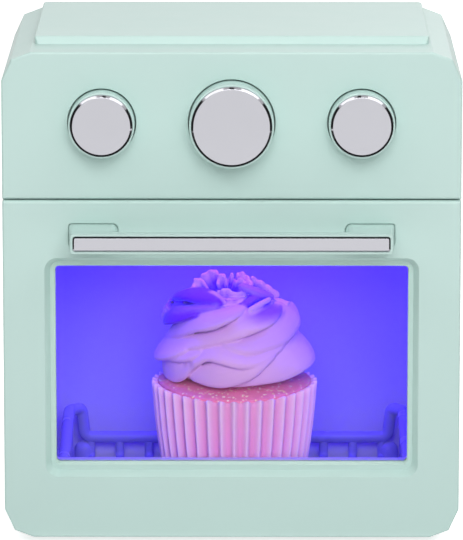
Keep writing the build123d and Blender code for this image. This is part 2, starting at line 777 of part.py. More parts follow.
def hinge_arm():
    """Right hinge ear on its arm, which rises from the floor of the housing."""
    top = HINGE_Z + EAR_R
    low = HINGE_Z - EAR_R
    root = TUB_FRONT + MOVING_GAP
    profile = Pos(HINGE_DEPTH, HINGE_Z) * Circle(EAR_R)
    profile += Polygon((HINGE_DEPTH, low), (root, low), (root, top), (HINGE_DEPTH, top), align=None)
    gusset = [(root - EAR_R, low), (root, FLOOR_TOP - WALL / 2), (ARM_BACK, FLOOR_TOP - WALL / 2)]
    profile += Polygon(*gusset, (ARM_BACK, low), (root, top), (root - EAR_R, top), align=None)
    profile -= Pos(HINGE_DEPTH, HINGE_Z) * Circle(PIN_R + RUNNING)
    return across(profile, EAR_X, EAR_X + EAR_T)


def platform():
    """Raised panel on the top of the housing, its front face leaning back a little."""
    foot = PLATFORM_FRONT - PLATFORM_SLOPE
    depth = PLATFORM_BACK - foot
    shape = Pos(0, (PLATFORM_BACK + foot) / 2) * RectangleRounded(PLATFORM_W, depth, PLATFORM_R)
    raised = upward(shape, BODY_TOP - WALL / 2, PLATFORM_TOP)
    lean = Polygon((foot, BODY_TOP), (PLATFORM_FRONT, PLATFORM_TOP), (foot, PLATFORM_TOP), align=None)
    raised -= across(lean, -BODY_W, BODY_W)
    return fillet(raised.faces().sort_by(Axis.Z)[-1].edges(), PLATFORM_EDGE_R)


def hinge_relief():
    """Room in front of the housing's lower edge for the turning foot of the door."""
    reach = across(Pos(HINGE_DEPTH, HINGE_Z) * Circle(DOOR_SWEEP_R), -BODY_W, BODY_W)
    under = block((-BODY_W, BODY_W), (0, HINGE_DEPTH + DOOR_SWEEP_R), (0, HINGE_Z))
    return reach + under


def housing_shell():
    outline = body_outline()
    shell = along_depth(outline, HOUSING_FRONT, REAR_PLANE) + platform()
    shell -= along_depth(inset(outline, WALL), HOUSING_FRONT, REAR_PLANE)
    depth_mid = (PLATFORM_BACK + PLATFORM_FRONT) / 2
    size = (PLATFORM_W - 2 * WALL, PLATFORM_BACK - PLATFORM_FRONT - 2 * WALL)
    shell -= upward(Pos(0, depth_mid) * Rectangle(*size), BODY_TOP - WALL, PLATFORM_TOP - WALL)
    shell -= hinge_relief()
    for arm in mirrored(hinge_arm()):
        shell += arm
    for x, z in TUB_SCREWS:
        boss = rod(x, z, INNER_HALF - TUB_SCREW_X + PRESS_GAP, HOUSING_FRONT + TUB_FLANGE_T, ARM_BACK)
        shell += boss - rod(x, z, PILOT_R, HOUSING_FRONT, ARM_BACK)
    for x, z in REAR_SCREWS:
        boss = rod(x, z, INNER_HALF - abs(x) + WALL / 2, REAR_PLANE - SCREW_L - WALL, REAR_PLANE)
        shell += boss
        shell -= rod(x, z, PILOT_R, REAR_PLANE - SCREW_L, REAR_PLANE)
    for x, z in PANEL_SCREWS:
        y_span = (HOUSING_FRONT, HOUSING_FRONT + TAB_T)
        tab = block((abs(x) - BOSS_R, INNER_HALF + WALL / 4), y_span, (z - BOSS_R, z + BOSS_R))
        tab = tab if x > 0 else mirror(tab, Plane.YZ)
        shell += tab & along_depth(outline, *y_span)
        shell -= rod(x, z, SCREW_HOLE_R, *y_span)
    for x, y in pad_places():
        shell -= upward(Pos(x, y) * Circle(PAD_R + FIXED_GAP), BASE, BASE + PAD_SINK)
    return shell


def pad_places():
    front = TUB_FRONT + PAD_INSET
    back = REAR_PLANE - PAD_INSET
    return [(x, y) for x in (-PAD_X, PAD_X) for y in (front, back)]


def foot_pads():
    pads = []
    for x, y in pad_places():
        pad = upward(Pos(x, y) * Circle(PAD_R), 0, BASE + PAD_SINK)
        pads.append(chamfer(pad.faces().sort_by(Axis.Z)[0].edges(), PAD_SINK))
    return group(pads)


def panel_screws():
    return group(screw(x, z, HOUSING_FRONT + TAB_T) for x, z in PANEL_SCREWS)


def tub_screws():
    """Countersunk in the tub's flange, driven backwards."""
    screws = []
    near = HOUSING_FRONT + FIXED_GAP
    for x, z in TUB_SCREWS:
        head = rod(x, z, HEAD_R, near, near + HEAD_T)
        socket = along_depth(Pos(x, z) * RegularPolygon(HEAD_R / 2, 6), near, near + HEAD_T / 2)
        screws.append(head - socket + rod(x, z, SCREW_R, near + HEAD_T, near + SCREW_L))
    return group(screws)


def oven_tub():
    """Cavity liner with rounded inner corners and a front flange."""
    outer = TUB_HALF + TUB_T
    height = (FLOOR_TOP, TUB_ROOF + TUB_T)
    tub = block((-outer, outer), (HOUSING_FRONT, TUB_BACK + TUB_T), height)
    low_edges = tub.faces().sort_by(Axis.Z)[0].edges().filter_by(Axis.Y)
    tub = chamfer(low_edges, TUB_T)
    hollow = block((-TUB_HALF, TUB_HALF), (TUB_FRONT + TUB_LIP_T, TUB_BACK), (TUB_FLOOR, TUB_ROOF))
    back = hollow.faces().sort_by(Axis.Y)[-1]
    tub -= fillet(back.edges(), TUB_CORNER_R)
    flange = inset(body_outline(), WALL + FIXED_GAP)
    low = FLOOR_TOP + FIXED_GAP
    flange &= Pos(0, (low + PANEL_LOW + FLANGE_TOP_LAP) / 2) * Rectangle(BODY_W, PANEL_LOW + FLANGE_TOP_LAP - low)
    plate = along_depth(flange, HOUSING_FRONT, HOUSING_FRONT + TUB_FLANGE_T)
    clear = (0, HINGE_Z + DOOR_SWEEP_R)
    for side in mirrored(block((outer, BODY_W), (0, REAR_PLANE), clear)):
        plate -= side
    tub += plate
    tub -= hinge_relief()
    tub -= along_depth(window(SEAM, WINDOW_R), HOUSING_FRONT, TUB_FRONT + TUB_LIP_T)
    x_span = (-LENS_W / 2, LENS_W / 2)
    y_span = (LENS_DEPTH - LENS_D / 2, LENS_DEPTH + LENS_D / 2)
    tub -= block(x_span, y_span, (TUB_ROOF, TUB_ROOF + TUB_T))
    for x, z in TUB_SCREWS:
        tub -= rod(x, z, SCREW_HOLE_R, HOUSING_FRONT, HOUSING_FRONT + TUB_FLANGE_T)
        tub -= rod(x, z, HEAD_R + FIXED_GAP, HOUSING_FRONT, HOUSING_FRONT + FIXED_GAP + HEAD_T)
    tub -= catch_ball(CATCH_R + MOVING_GAP)
    for x, y in light_posts():
        tub += upward(Pos(x, y) * Circle(BOSS_R), TUB_ROOF + TUB_T / 2, light_board_low())
        tub -= upward(Pos(x, y) * Circle(PILOT_R), light_board_low() - LIGHT_BOARD_RISE + TUB_T, light_board_low())
    return tub


def light_board_low():
    return TUB_ROOF + TUB_T + LIGHT_BOARD_RISE


def light_posts():
    x = LIGHT_BOARD_W / 2 - BOSS_R
    return [(x, LENS_DEPTH), (-x, LENS_DEPTH)]


def light_lens():
    """Clear window in the oven's roof, dropped in from above on its lip."""
    lap = 2 * LENS_LAP
    gap = 2 * FIXED_GAP
    top = TUB_ROOF + TUB_T
    plate = upward(Pos(0, LENS_DEPTH) * RectangleRounded(LENS_W + lap, LENS_D + lap, LENS_LAP), top, top + LENS_T)
    plug = upward(Pos(0, LENS_DEPTH) * Rectangle(LENS_W - gap, LENS_D - gap), TUB_ROOF, top)
    return plate + plug


def led_board():
    low = light_board_low()
    board = upward(Pos(0, LENS_DEPTH) * Rectangle(LIGHT_BOARD_W, LIGHT_BOARD_D), low, low + LIGHT_BOARD_T)
    for x, y in light_posts():
        board -= upward(Pos(x, y) * Circle(SCREW_HOLE_R), low, low + LIGHT_BOARD_T)
    return board


def led_chips():
    """Light source: a row of square lamps under the board."""
    low = light_board_low() - CHIP_T
    chips = []
    for index in range(-1, 2):
        square = Pos(index * CHIP_PITCH, LENS_DEPTH) * Rectangle(CHIP, CHIP)
        chip = upward(square, low, low + CHIP_T)
        chips.append(chamfer(chip.faces().sort_by(Axis.Z)[0].edges(), CHIP_T / 5))
    return group(chips)


def led_board_screws():
    low = light_board_low() + LIGHT_BOARD_T
    screws = []
    for x, y in light_posts():
        shank = upward(Pos(x, y) * Circle(SCREW_R), low - LIGHT_BOARD_RISE, low)
        head = upward(Pos(x, y) * Circle(HEAD_R), low, low + HEAD_T)
        socket = upward(Pos(x, y) * RegularPolygon(HEAD_R / 2, 6), low + HEAD_T / 2, low + HEAD_T)
        screws.append(shank + head - socket)
    return group(screws)


def battery_door_sketch(grow):
    """Outline of the battery door, seen from the front."""
    low = BAY_LOW + BAY_WALL / 2
    high = BAY_TOP - BAY_WALL / 2
    left = -BAY_HALF + BAY_WALL / 2
    right = BAY_HALF + BAY_TOWER - BAY_WALL / 2
    size = (right - left + 2 * grow, high - low + 2 * grow)
    return Pos((left + right) / 2, (low + high) / 2) * RectangleRounded(*size, BATTERY_DOOR_R)


def battery_screw_x():
    return BAY_HALF + BAY_TOWER / 2


def battery_box():
    """Bay for the cells, with a tower at one side for the door's screw."""
    right = BAY_HALF + BAY_TOWER
    box = block((-BAY_HALF, right), (BAY_FRONT, REAR_PLANE), (BAY_LOW, BAY_TOP))
    bay_x = (-BAY_HALF + BAY_WALL, BAY_HALF - BAY_WALL)
    depth = (BAY_FRONT + BAY_WALL, REAR_PLANE)
    height = (BAY_LOW + BAY_WALL, BAY_TOP - BAY_WALL)
    box -= block(bay_x, depth, height)
    box -= block((BAY_HALF, right - BAY_WALL), depth, height)
    x = battery_screw_x()
    box += rod(x, BAY_MID, BOSS_R, BAY_FRONT + BAY_WALL / 2, REAR_PLANE)
    return box - rod(x, BAY_MID, PILOT_R, REAR_PLANE - SCREW_L, REAR_PLANE)


def battery_door():
    door = along_depth(battery_door_sketch(0), REAR_PLANE, BODY_D)
    x = battery_screw_x()
    door -= rod(x, BAY_MID, SCREW_HOLE_R, REAR_PLANE, BODY_D)
    door -= rod(x, BAY_MID, HEAD_R + FIXED_GAP, BODY_D - HEAD_T - FIXED_GAP, BODY_D)
    groove = SlotOverall(GRIP_GROOVE_L, GRIP_GROOVE_W)
    first = BAY_MID - (GRIP_GROOVES - 1) / 2 * GRIP_GROOVE_STEP
    for index in range(GRIP_GROOVES):
        place = Pos(GRIP_GROOVE_L - BAY_HALF, first + index * GRIP_GROOVE_STEP)
        door -= along_depth(place * groove, BODY_D - GRIP_GROOVE_DEPTH, BODY_D)
    return door


def battery_door_screw():
    return screw(battery_screw_x(), BAY_MID, BODY_D - HEAD_T - FIXED_GAP)


def cell_heights():
    low = BAY_LOW + BAY_WALL + CELL_PITCH / 2
    return [low + index * CELL_PITCH for index in range(CELL_COUNT)]


def battery_cells():
    """Small round cells laid across the head, every second one turned round."""
    cells = []
    for index, z in enumerate(cell_heights()):
        side = 1 if index % 2 == 0 else -1
        can = across(Pos(CELL_DEPTH, z) * Circle(CELL_R), -CELL_L / 2, CELL_L / 2 - NUB_L)
        can = chamfer(can.edges(), CELL_R / 15)
        cell = can + across(Pos(CELL_DEPTH, z) * Circle(NUB_R), CELL_L / 2 - NUB_L, CELL_L / 2)
        cells.append(cell if side > 0 else mirror(cell, Plane.YZ))
    return group(cells)


def battery_contacts():
    """Bent leaf contacts at both ends of each cell."""
    contacts = []
    wall = BAY_HALF - BAY_WALL
    reach = BAY_SLACK - FIXED_GAP
    for z in cell_heights():
        half = CELL_R - CELL_PITCH / 10
        outer = [(wall, z - half), (wall, z + half), (wall - CONTACT_T, z + half)]
        bent = [(wall - CONTACT_T, z + half / 2), (wall - reach, z), (wall - CONTACT_T, z - half / 2)]
        profile = Polygon(*outer, *bent, (wall - CONTACT_T, z - half), align=None)
        leaf = along_depth(profile, CELL_DEPTH - half, CELL_DEPTH + half)
        contacts += mirrored(leaf)
    return group(contacts)


def rear_cover():
    outline = body_outline()
    cover = along_depth(outline, REAR_PLANE, BODY_D)
    cover = fillet(cover.faces().sort_by(Axis.Y)[-1].outer_wire().edges(), EDGE_R)
    lip = inset(outline, WALL + FIXED_GAP) - inset(outline, 2 * WALL)
    cover += along_depth(lip, TUB_BACK + TUB_T + FIXED_GAP, REAR_PLANE + WALL / 4)
    box_keep = block(
        (-BAY_HALF - FIXED_GAP, BAY_HALF + BAY_TOWER + FIXED_GAP),
        (BAY_FRONT, REAR_PLANE),
        (BAY_LOW - FIXED_GAP, BODY_TOP),
    )
    cover -= box_keep
    for x, z in REAR_SCREWS:
        cover -= rod(x, z, INNER_HALF - abs(x) + WALL, BAY_FRONT, REAR_PLANE)
        cover -= rod(x, z, SCREW_HOLE_R, REAR_PLANE, BODY_D)
        cover -= rod(x, z, HEAD_R + FIXED_GAP, BODY_D - HEAD_T - FIXED_GAP, BODY_D)
    cover -= along_depth(battery_door_sketch(BATTERY_DOOR_GAP), REAR_PLANE, BODY_D)
    first = -(VENT_COUNT - 1) / 2 * VENT_PITCH
    for index in range(VENT_COUNT):
        slot = Pos(first + index * VENT_PITCH, BASE + DOOR_H / 2) * SlotOverall(VENT_H, VENT_W, rotation=90)
        cover -= along_depth(slot, REAR_PLANE, BODY_D)
    return cover


def rear_screws():
    return group(screw(x, z, BODY_D - HEAD_T - FIXED_GAP) for x, z in REAR_SCREWS)


def rounded_path(points, radii):
    """Straight runs joined by tangent arcs, in space."""
    corners = [Vector(*point) for point in points]
    edges = []
    start = corners[0]
    for index, radius in enumerate(radii, start=1):
        corner = corners[index]
        toward = (corners[index - 1] - corner).normalized()
        away = (corners[index + 1] - corner).normalized()
        half = radians(toward.get_angle(away)) / 2
        first = corner + toward * (radius / tan(half))
        last = corner + away * (radius / tan(half))
        middle = corner + (toward + away).normalized() * (radius / sin(half) - radius)
        edges += [Line(start, first), ThreePointArc(first, middle, last)]
        start = last
    edges.append(Line(start, corners[-1]))
    return Wire([part.edge() for part in edges])


def tube(points, radii, radius):
    """A round wire along a path."""
    path = rounded_path(points, radii)
    section = Plane(origin=path @ 0, z_dir=path % 0) * Circle(radius)
    return sweep(section, path=path)


def side_rail_z(y):
    """Height of the side rails, which fall gently towards the front."""
    share = (TRAY_BACK - y) / (TRAY_BACK - TRAY_FRONT)
    return BASE + SIDE_RAIL_RISE - SIDE_RAIL_FALL * share


def tray_rail():
    """Closed rail: low at the front and back, raised along both sides."""
    low_z = BASE + BACK_RAIL_RISE
    leg = TRAY_HALF - LEG_IN
    points = [(0, TRAY_BACK, low_z), (leg, TRAY_BACK, low_z)]
    for y, inward in ((TRAY_BACK, -1), (TRAY_FRONT, 1)):
        top = side_rail_z(y)
        arch = [(leg + LEG_FOOT, y + inward * LEG_LEAN, top), (TRAY_HALF, y + inward * LEG_IN, top)]
        points += arch if inward < 0 else arch[::-1]
    points += [(leg, TRAY_FRONT, low_z), (0, TRAY_FRONT, low_z)]
    bends = (RAIL_BEND, ARCH_BEND, CORNER_BEND, CORNER_BEND, ARCH_BEND, RAIL_BEND)
    half = tube(points, bends, RAIL_R)
    return half + mirror(half, Plane.YZ)


def tray_posts():
    """Half-round feet with domed tops, under the back corners of the rail."""
    place = Pos(TRAY_HALF - POST_IN, TRAY_BACK + POST_BACK)
    top = BASE + POST_RISE - POST_R
    post = upward(place * Circle(POST_R), WIRE_Z - WIRE_R, top)
    post += place * Pos(0, 0, top) * Sphere(POST_R)
    return mirrored(post & block((0, BODY_W), (0, TRAY_BACK), (0, BODY_H)))


def fry_basket():
    """Wire-look tray, moulded in one piece."""
    tray = tray_rail()
    low_z = BASE + BACK_RAIL_RISE
    first = -(BACK_WIRES - 1) / 2 * BACK_WIRE_PITCH
    bends = (WIRE_BEND, WIRE_BEND)
    for index in range(BACK_WIRES):
        x = first + index * BACK_WIRE_PITCH
        corners = [(x, TRAY_FRONT, low_z), (x, TRAY_FRONT, WIRE_Z), (x, TRAY_BACK, WIRE_Z), (x, TRAY_BACK, low_z)]
        tray += tube(corners, bends, WIRE_R)
    step = (TRAY_BACK - TRAY_FRONT) / (CROSS_WIRES + 1)
    for index in range(1, CROSS_WIRES + 1):
        y = TRAY_FRONT + index * step
        top = side_rail_z(y)
        half = TRAY_HALF
        corners = [(-half, y, top), (-half, y, WIRE_Z), (half, y, WIRE_Z), (half, y, top)]
        tray += tube(corners, bends, WIRE_R)
    for post in tray_posts():
        tray += post
    return Pos(TRAY_SHIFT, 0, 0) * tray


def fluted(radius, z):
    """Zigzag outline of the pleated liner at one height."""
    points = []
    for index in range(2 * FLUTES):
        angle = pi * index / FLUTES
        reach = radius if index % 2 == 0 else radius - FLUTE_DEPTH
        points.append((CAKE_X + reach * cos(angle), CAKE_DEPTH + reach * sin(angle)))
    return (Plane.XY.offset(z) * Polygon(*points, align=None)).face()


def cupcake_liner():
    base = fluted(LINER_BASE_R, LINER_Z)
    rim = fluted(LINER_RIM_R, LINER_Z + LINER_H)
    cup = loft([base, rim], ruled=True)
    return cup - liner_core(FLUTE_DEPTH + LINER_T, LINER_Z + LINER_T, LINER_Z + LINER_H)


def liner_core(gap, low, high):
    """Cone inside the liner, a given distance inside its outer edge."""
    slope = (LINER_RIM_R - LINER_BASE_R) / LINER_H
    low_r = LINER_BASE_R - gap + slope * (low - LINER_Z)
    high_r = LINER_BASE_R - gap + slope * (high - LINER_Z)
    place = Pos(CAKE_X, CAKE_DEPTH, (low + high) / 2)
    return place * Cone(low_r, high_r, high - low)


def cupcake_cake():
    """Moulded cake with a low domed top."""
    gap = FLUTE_DEPTH + LINER_T
    top = LINER_Z + LINER_H
    cake = liner_core(gap, LINER_Z + LINER_T, top)
    rim_r = LINER_RIM_R - gap
    dome_r = (rim_r ** 2 + CAKE_DOME ** 2) / (2 * CAKE_DOME)
    ball = Pos(CAKE_X, CAKE_DEPTH, top + CAKE_DOME - dome_r) * Sphere(dome_r)
    cap = ball & block((-BODY_W, BODY_W), (0, BODY_D), (top, top + 2 * CAKE_DOME))
    flat = LINER_Z + FROSTING_LOW
    return cake + cap - block((-BODY_W, BODY_W), (0, BODY_D), (flat, flat + CAKE_DOME))


def frosting_section(fraction, share):
    """Lobed outline of the icing at one level."""
    radius = FROSTING_R * share
    turn = radians(TWIST_ANGLE) * fraction
    points = []
    for index in range(4 * LOBES):
        angle = pi * index / (2 * LOBES)
        reach = radius * (1 - LOBE_DEPTH + LOBE_DEPTH * cos(LOBES * angle))
        points.append((CAKE_X + reach * cos(angle + turn), CAKE_DEPTH + reach * sin(angle + turn)))
    z = LINER_Z + FROSTING_LOW + FROSTING_H * fraction
    return (Plane.XY.offset(z) * Polygon(*points, align=None)).face()


def cupcake_frosting():
    """Piped icing: a twisted, lobed swirl in tiers."""
    return loft([frosting_section(*step) for step in FROSTING_STEPS], ruled=True)


def nodes():
    """Every part by its name."""
    parts = {
        "housing_shell": housing_shell(),
        "control_panel": control_panel(),
        "rear_cover": rear_cover(),
        "foot_pads": foot_pads(),
        "oven_tub": oven_tub(),
        "tub_screws": tub_screws(),
        "panel_screws": panel_screws(),
        "rear_screws": rear_screws(),
        "door_panel": door_panel(),
        "door_inner_frame": door_inner_frame(),
        "window_pane": window_pane(),
        "frame_screws": frame_screws(),
        "handle_grip": handle_grip(),
        "handle_trim": handle_trim(),
        "handle_screws": handle_screws(),
        "hinge_pins": hinge_pins(),
        "knob_center": center_knob(),
        "knob_center_cap": knob_cap(0, CENTER_CAP_R, CENTER_PROUD),
        "center_plunger": center_plunger(),
        "center_knob_screw": center_knob_screw(),
        "switch_stem": switch_stem(),
        "push_switch": push_switch(),
        "switch_board": switch_board(),
        "board_screws": board_screws(),
        "light_lens": light_lens(),
        "led_board": led_board(),
        "led_chips": led_chips(),
        "led_board_screws": led_board_screws(),
        "battery_box": battery_box(),
        "battery_cells": battery_cells(),
        "battery_contacts": battery_contacts(),
        "battery_door": battery_door(),
        "battery_door_screw": battery_door_screw(),
        "fry_basket": fry_basket(),
        "cupcake_liner": cupcake_liner(),
        "cupcake_cake": cupcake_cake(),
        "cupcake_frosting": cupcake_frosting(),
    }
    for side, x in SIDE_KNOBS.items():
        parts["knob_" + side] = side_knob(x)
        parts["knob_" + side + "_cap"] = knob_cap(x, SIDE_CAP_R, SIDE_PROUD)
        parts[side + "_click_wheel"] = click_wheel(x)
        parts[side + "_knob_screw"] = side_knob_screw(x)
        parts[side + "_click_spring"] = click_spring(x)
    return parts


def main():
    os.makedirs("parts", exist_ok=True)
    for name, shape in nodes().items():
        export_step(Pos(0, DEPTH_SHIFT, 0) * shape, "parts/" + name + ".step")


main()
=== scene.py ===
import math

import bmesh
import bpy
from mathutils import Matrix, Vector, noise
from mathutils.kdtree import KDTree


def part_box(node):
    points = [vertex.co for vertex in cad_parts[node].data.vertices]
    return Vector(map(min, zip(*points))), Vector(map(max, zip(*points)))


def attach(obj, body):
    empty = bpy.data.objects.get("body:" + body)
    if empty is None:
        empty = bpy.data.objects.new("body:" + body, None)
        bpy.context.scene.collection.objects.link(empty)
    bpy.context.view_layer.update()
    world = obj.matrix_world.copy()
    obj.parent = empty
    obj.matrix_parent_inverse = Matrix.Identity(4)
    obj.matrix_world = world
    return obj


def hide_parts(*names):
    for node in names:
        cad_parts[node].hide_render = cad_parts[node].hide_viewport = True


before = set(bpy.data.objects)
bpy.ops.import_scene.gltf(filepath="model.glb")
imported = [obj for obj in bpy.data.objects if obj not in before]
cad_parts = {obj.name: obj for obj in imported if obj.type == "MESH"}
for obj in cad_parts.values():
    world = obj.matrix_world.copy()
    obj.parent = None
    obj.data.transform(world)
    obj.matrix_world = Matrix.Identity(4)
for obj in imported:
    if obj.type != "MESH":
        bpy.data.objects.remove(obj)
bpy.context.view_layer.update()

bl_info = {
    "name": "Toy Air Fryer",
    "version": (1, 0, 0),
    "blender": (4, 5, 0),
    "location": "View3D > Sidebar > Toy Fryer",
    "description": "Dresses a toy air fryer: finishes, oven light, play cupcake and studio",
    "category": "Object",
}

MM = 0.001
WHITE = (1.0, 1.0, 1.0, 1.0)


# Nodes and finishes

# Where a mix node keeps its two colour inputs and its colour result.
MIX_FIRST, MIX_SECOND, MIX_RESULT = 6, 7, 2


def socket_of(node, key):
    """An input of a node by its name in small letters, or nothing."""
    wanted = key.replace("_", " ")
    return next((socket for socket in node.inputs if socket.name.lower() == wanted), None)


def shade(colour, share):
    """A colour made lighter or darker."""
    return [min(1.0, part * share) for part in colour[:3]]


class Finish:
    """A node material being put together around one principled shader."""

    def __init__(self, name):
        self.material = bpy.data.materials.new(name)
        self.material.use_nodes = True
        self.tree = self.material.node_tree
        self.shader = self.tree.nodes["Principled BSDF"]
        self.output = self.tree.nodes["Material Output"]
        self.coordinates = self.node("ShaderNodeTexCoord")
        self.place = self.coordinates.outputs["Object"]

    def node(self, kind, **inputs):
        """Add a node; its settings and unlinked inputs come by name."""
        made = self.tree.nodes.new(kind)
        for key, value in inputs.items():
            socket = socket_of(made, key)
            if socket:
                socket.default_value = value
            else:
                setattr(made, key, value)
        return made

    def join(self, source, target):
        self.tree.links.new(source, target)

    def set(self, **values):
        """Set constants on the shader's own sockets."""
        for key, value in values.items():
            socket_of(self.shader, key).default_value = value

    def texture(self, kind, **inputs):
        """Outputs of a texture laid by the object's own coordinates."""
        made = self.node(kind, **inputs)
        self.join(self.place, made.inputs["Vector"])
        return made.outputs

    def noise(self, scale, detail=2.0):
        return self.texture("ShaderNodeTexNoise", scale=scale, detail=detail)["Fac"]

    def attribute(self, name):
        """A value that the mesh carries."""
        return self.node("ShaderNodeAttribute", attribute_name=name).outputs["Fac"]

    def split(self, kind, value):
        """The parts of a vector or a colour."""
        made = self.node(kind)
        self.join(value, made.inputs[0])
        return made.outputs

    def combine(self, operation, first, second):
        """Work out one value from two, each a number or a socket."""
        made = self.node("ShaderNodeMath", operation=operation)
        for target, value in zip(made.inputs, (first, second)):
            if isinstance(value, bpy.types.NodeSocket):
                self.join(value, target)
            else:
                target.default_value = value
        return made.outputs[0]

    def span(self, value, low, high, start=0.0, end=1.0):
        """Carry a value from one range to another."""
        made = self.node(
            "ShaderNodeMapRange", from_min=start, from_max=end, to_min=low, to_max=high
        )
        self.join(value, made.inputs["Value"])
        return made.outputs["Result"]

    def blend(self, factor, first, second):
        """Mix two colours, each a value or a socket."""
        made = self.node("ShaderNodeMix", data_type="RGBA")
        for index, colour in ((MIX_FIRST, first), (MIX_SECOND, second)):
            if isinstance(colour, bpy.types.NodeSocket):
                self.join(colour, made.inputs[index])
            else:
                made.inputs[index].default_value = (*colour[:3], 1.0)
        self.join(factor, made.inputs[0])
        return made.outputs[MIX_RESULT]

    def choose(self, factor, first, second):
        """Mix two shaders by a factor."""
        made = self.node("ShaderNodeMixShader")
        self.join(factor, made.inputs[0])
        self.join(first.outputs[0], made.inputs[1])
        self.join(second.outputs[0], made.inputs[2])
        return made

    def paint(self, colour):
        self.join(colour, self.shader.inputs["Base Color"])

    def mottle(self, colour, amount, scale):
        """Base colour that drifts a little lighter and darker over the surface."""
        drift = self.noise(scale)
        self.paint(self.blend(drift, shade(colour, 1 - amount), shade(colour, 1 + amount)))

    def rough(self, low, high, scale):
        self.join(self.span(self.noise(scale), low, high), self.shader.inputs["Roughness"])

    def bump(self, height, distance, strength=1.0, soften=0.0):
        """Surface relief, over edges that are eased by a small radius."""
        made = self.node("ShaderNodeBump", strength=strength, distance=distance)
        self.join(height, made.inputs["Height"])
        if soften:
            eased = self.node("ShaderNodeBevel", samples=6, radius=soften)
            self.join(eased.outputs["Normal"], made.inputs["Normal"])
        self.join(made.outputs["Normal"], self.shader.inputs["Normal"])


def moulded_plastic(name, colour, low, high, grain, soften=0.0):
    """Injection-moulded plastic with a fine eggshell skin."""
    made = Finish(name)
    made.mottle(colour, amount=0.012, scale=35.0)
    made.rough(low, high, scale=140.0)
    made.bump(made.noise(2600.0, detail=3.0), grain, strength=0.5, soften=soften)
    made.set(specular_ior_level=0.36)
    return made.material


def plated_chrome(name, colour):
    """Vacuum-plated plastic: mirror bright with a trace of ripple."""
    made = Finish(name)
    made.mottle(colour, amount=0.02, scale=90.0)
    made.rough(0.05, 0.11, scale=220.0)
    made.bump(made.noise(180.0, detail=1.0), 0.02 * MM, strength=0.12, soften=0.12 * MM)
    made.set(metallic=1.0)
    return made.material


def bright_steel(name, colour, low, high):
    """Turned or rolled steel with fine tool lines."""
    made = Finish(name)
    made.mottle(colour, amount=0.08, scale=400.0)
    made.rough(low, high, scale=900.0)
    lines = made.texture("ShaderNodeTexWave", scale=1800.0, distortion=2.0)
    made.bump(lines["Fac"], 0.004 * MM, strength=0.4)
    made.set(metallic=1.0)
    return made.material


def clear_plastic(name, tint, low, high):
    """Clear moulded sheet: lamps shine through, and soft light from the front meets a pale face."""
    made = Finish(name)
    made.mottle(tint, amount=0.01, scale=60.0)
    made.rough(low, high, scale=80.0)
    made.bump(made.noise(120.0, detail=1.0), 0.01 * MM, strength=0.1)
    made.set(transmission_weight=1.0, ior=1.18)
    rays = made.node("ShaderNodeLightPath").outputs
    normal = made.split("ShaderNodeSeparateXYZ", made.coordinates.outputs["Normal"])
    outer = made.combine("LESS_THAN", normal["Y"], -0.5)
    through = made.node("ShaderNodeBsdfTransparent")
    smoky = made.node("ShaderNodeBsdfTransparent", color=(0.5, 0.5, 0.5, 1.0))
    pale = made.node("ShaderNodeBsdfDiffuse", color=(0.86, 0.9, 0.88, 1.0))
    soft = made.choose(outer, smoky, pale)
    # Rays passed on by the pane count as glossy too.
    mirrored = made.combine("SUBTRACT", rays["Is Glossy Ray"], rays["Is Transmission Ray"])
    bounced = made.combine("MAXIMUM", rays["Is Diffuse Ray"], mirrored)
    lit = made.choose(bounced, made.shader, soft)
    face = made.choose(rays["Is Shadow Ray"], lit, through)
    made.join(face.outputs[0], made.output.inputs["Surface"])
    return made.material


def lamp_glow(name, colour, strength):
    """Lit lamp or lens, a little uneven in its brightness."""
    made = Finish(name)
    made.mottle((0.8, 0.78, 0.9), amount=0.03, scale=300.0)
    made.set(emission_color=(*colour, 1.0), roughness=0.4)
    level = made.span(made.noise(250.0), 0.85 * strength, 1.15 * strength)
    made.join(level, made.shader.inputs["Emission Strength"])
    return made.material


def circuit_board(name, colour, track):
    """Lacquered board with a faint pattern of tracks."""
    made = Finish(name)
    cells = made.texture("ShaderNodeTexBrick", scale=180.0)
    made.paint(made.blend(made.span(cells["Fac"], 0.0, 1.0), colour, track))
    made.rough(0.25, 0.45, scale=300.0)
    made.bump(cells["Fac"], 0.03 * MM, strength=0.4)
    return made.material


def banded_wrap(name, dark, light, shift):
    """Shrink sleeve of a cell, dark with a light band at one end."""
    made = Finish(name)
    along = made.split("ShaderNodeSeparateXYZ", made.place)["X"]
    made.paint(made.blend(made.combine("GREATER_THAN", along, shift), dark, light))
    made.rough(0.22, 0.34, scale=200.0)
    made.bump(made.noise(700.0), 0.01 * MM, strength=0.3)
    return made.material


def icing_vinyl(pale, violet):
    """Soft moulded vinyl, violet where the mesh says so: partly a dyed top, partly painted shade
    where the front light does not reach.
    """
    made = Finish("icing_vinyl")
    drift = made.blend(made.noise(120.0), shade(pale, 0.96), pale)
    made.paint(made.blend(made.attribute("dye"), drift, violet))
    made.rough(0.42, 0.58, scale=300.0)
    made.bump(made.noise(900.0, detail=3.0), 0.03 * MM, strength=0.35)
    made.set(specular_ior_level=0.35, sheen_weight=0.08)
    return made.material


def liner_vinyl(shaded_groove, lit_ridge):
    """Thin pink vinyl, with a paler painted highlight along the pleats' crests and painted shade in
    the grooves.
    """
    made = Finish("liner_vinyl")
    drift = made.blend(made.noise(160.0), shade(shaded_groove, 0.95), shaded_groove)
    made.paint(made.blend(made.attribute("crest"), drift, lit_ridge))
    made.rough(0.4, 0.55, scale=400.0)
    made.bump(made.noise(1200.0, detail=3.0), 0.02 * MM, strength=0.4)
    made.set(specular_ior_level=0.4)
    return made.material


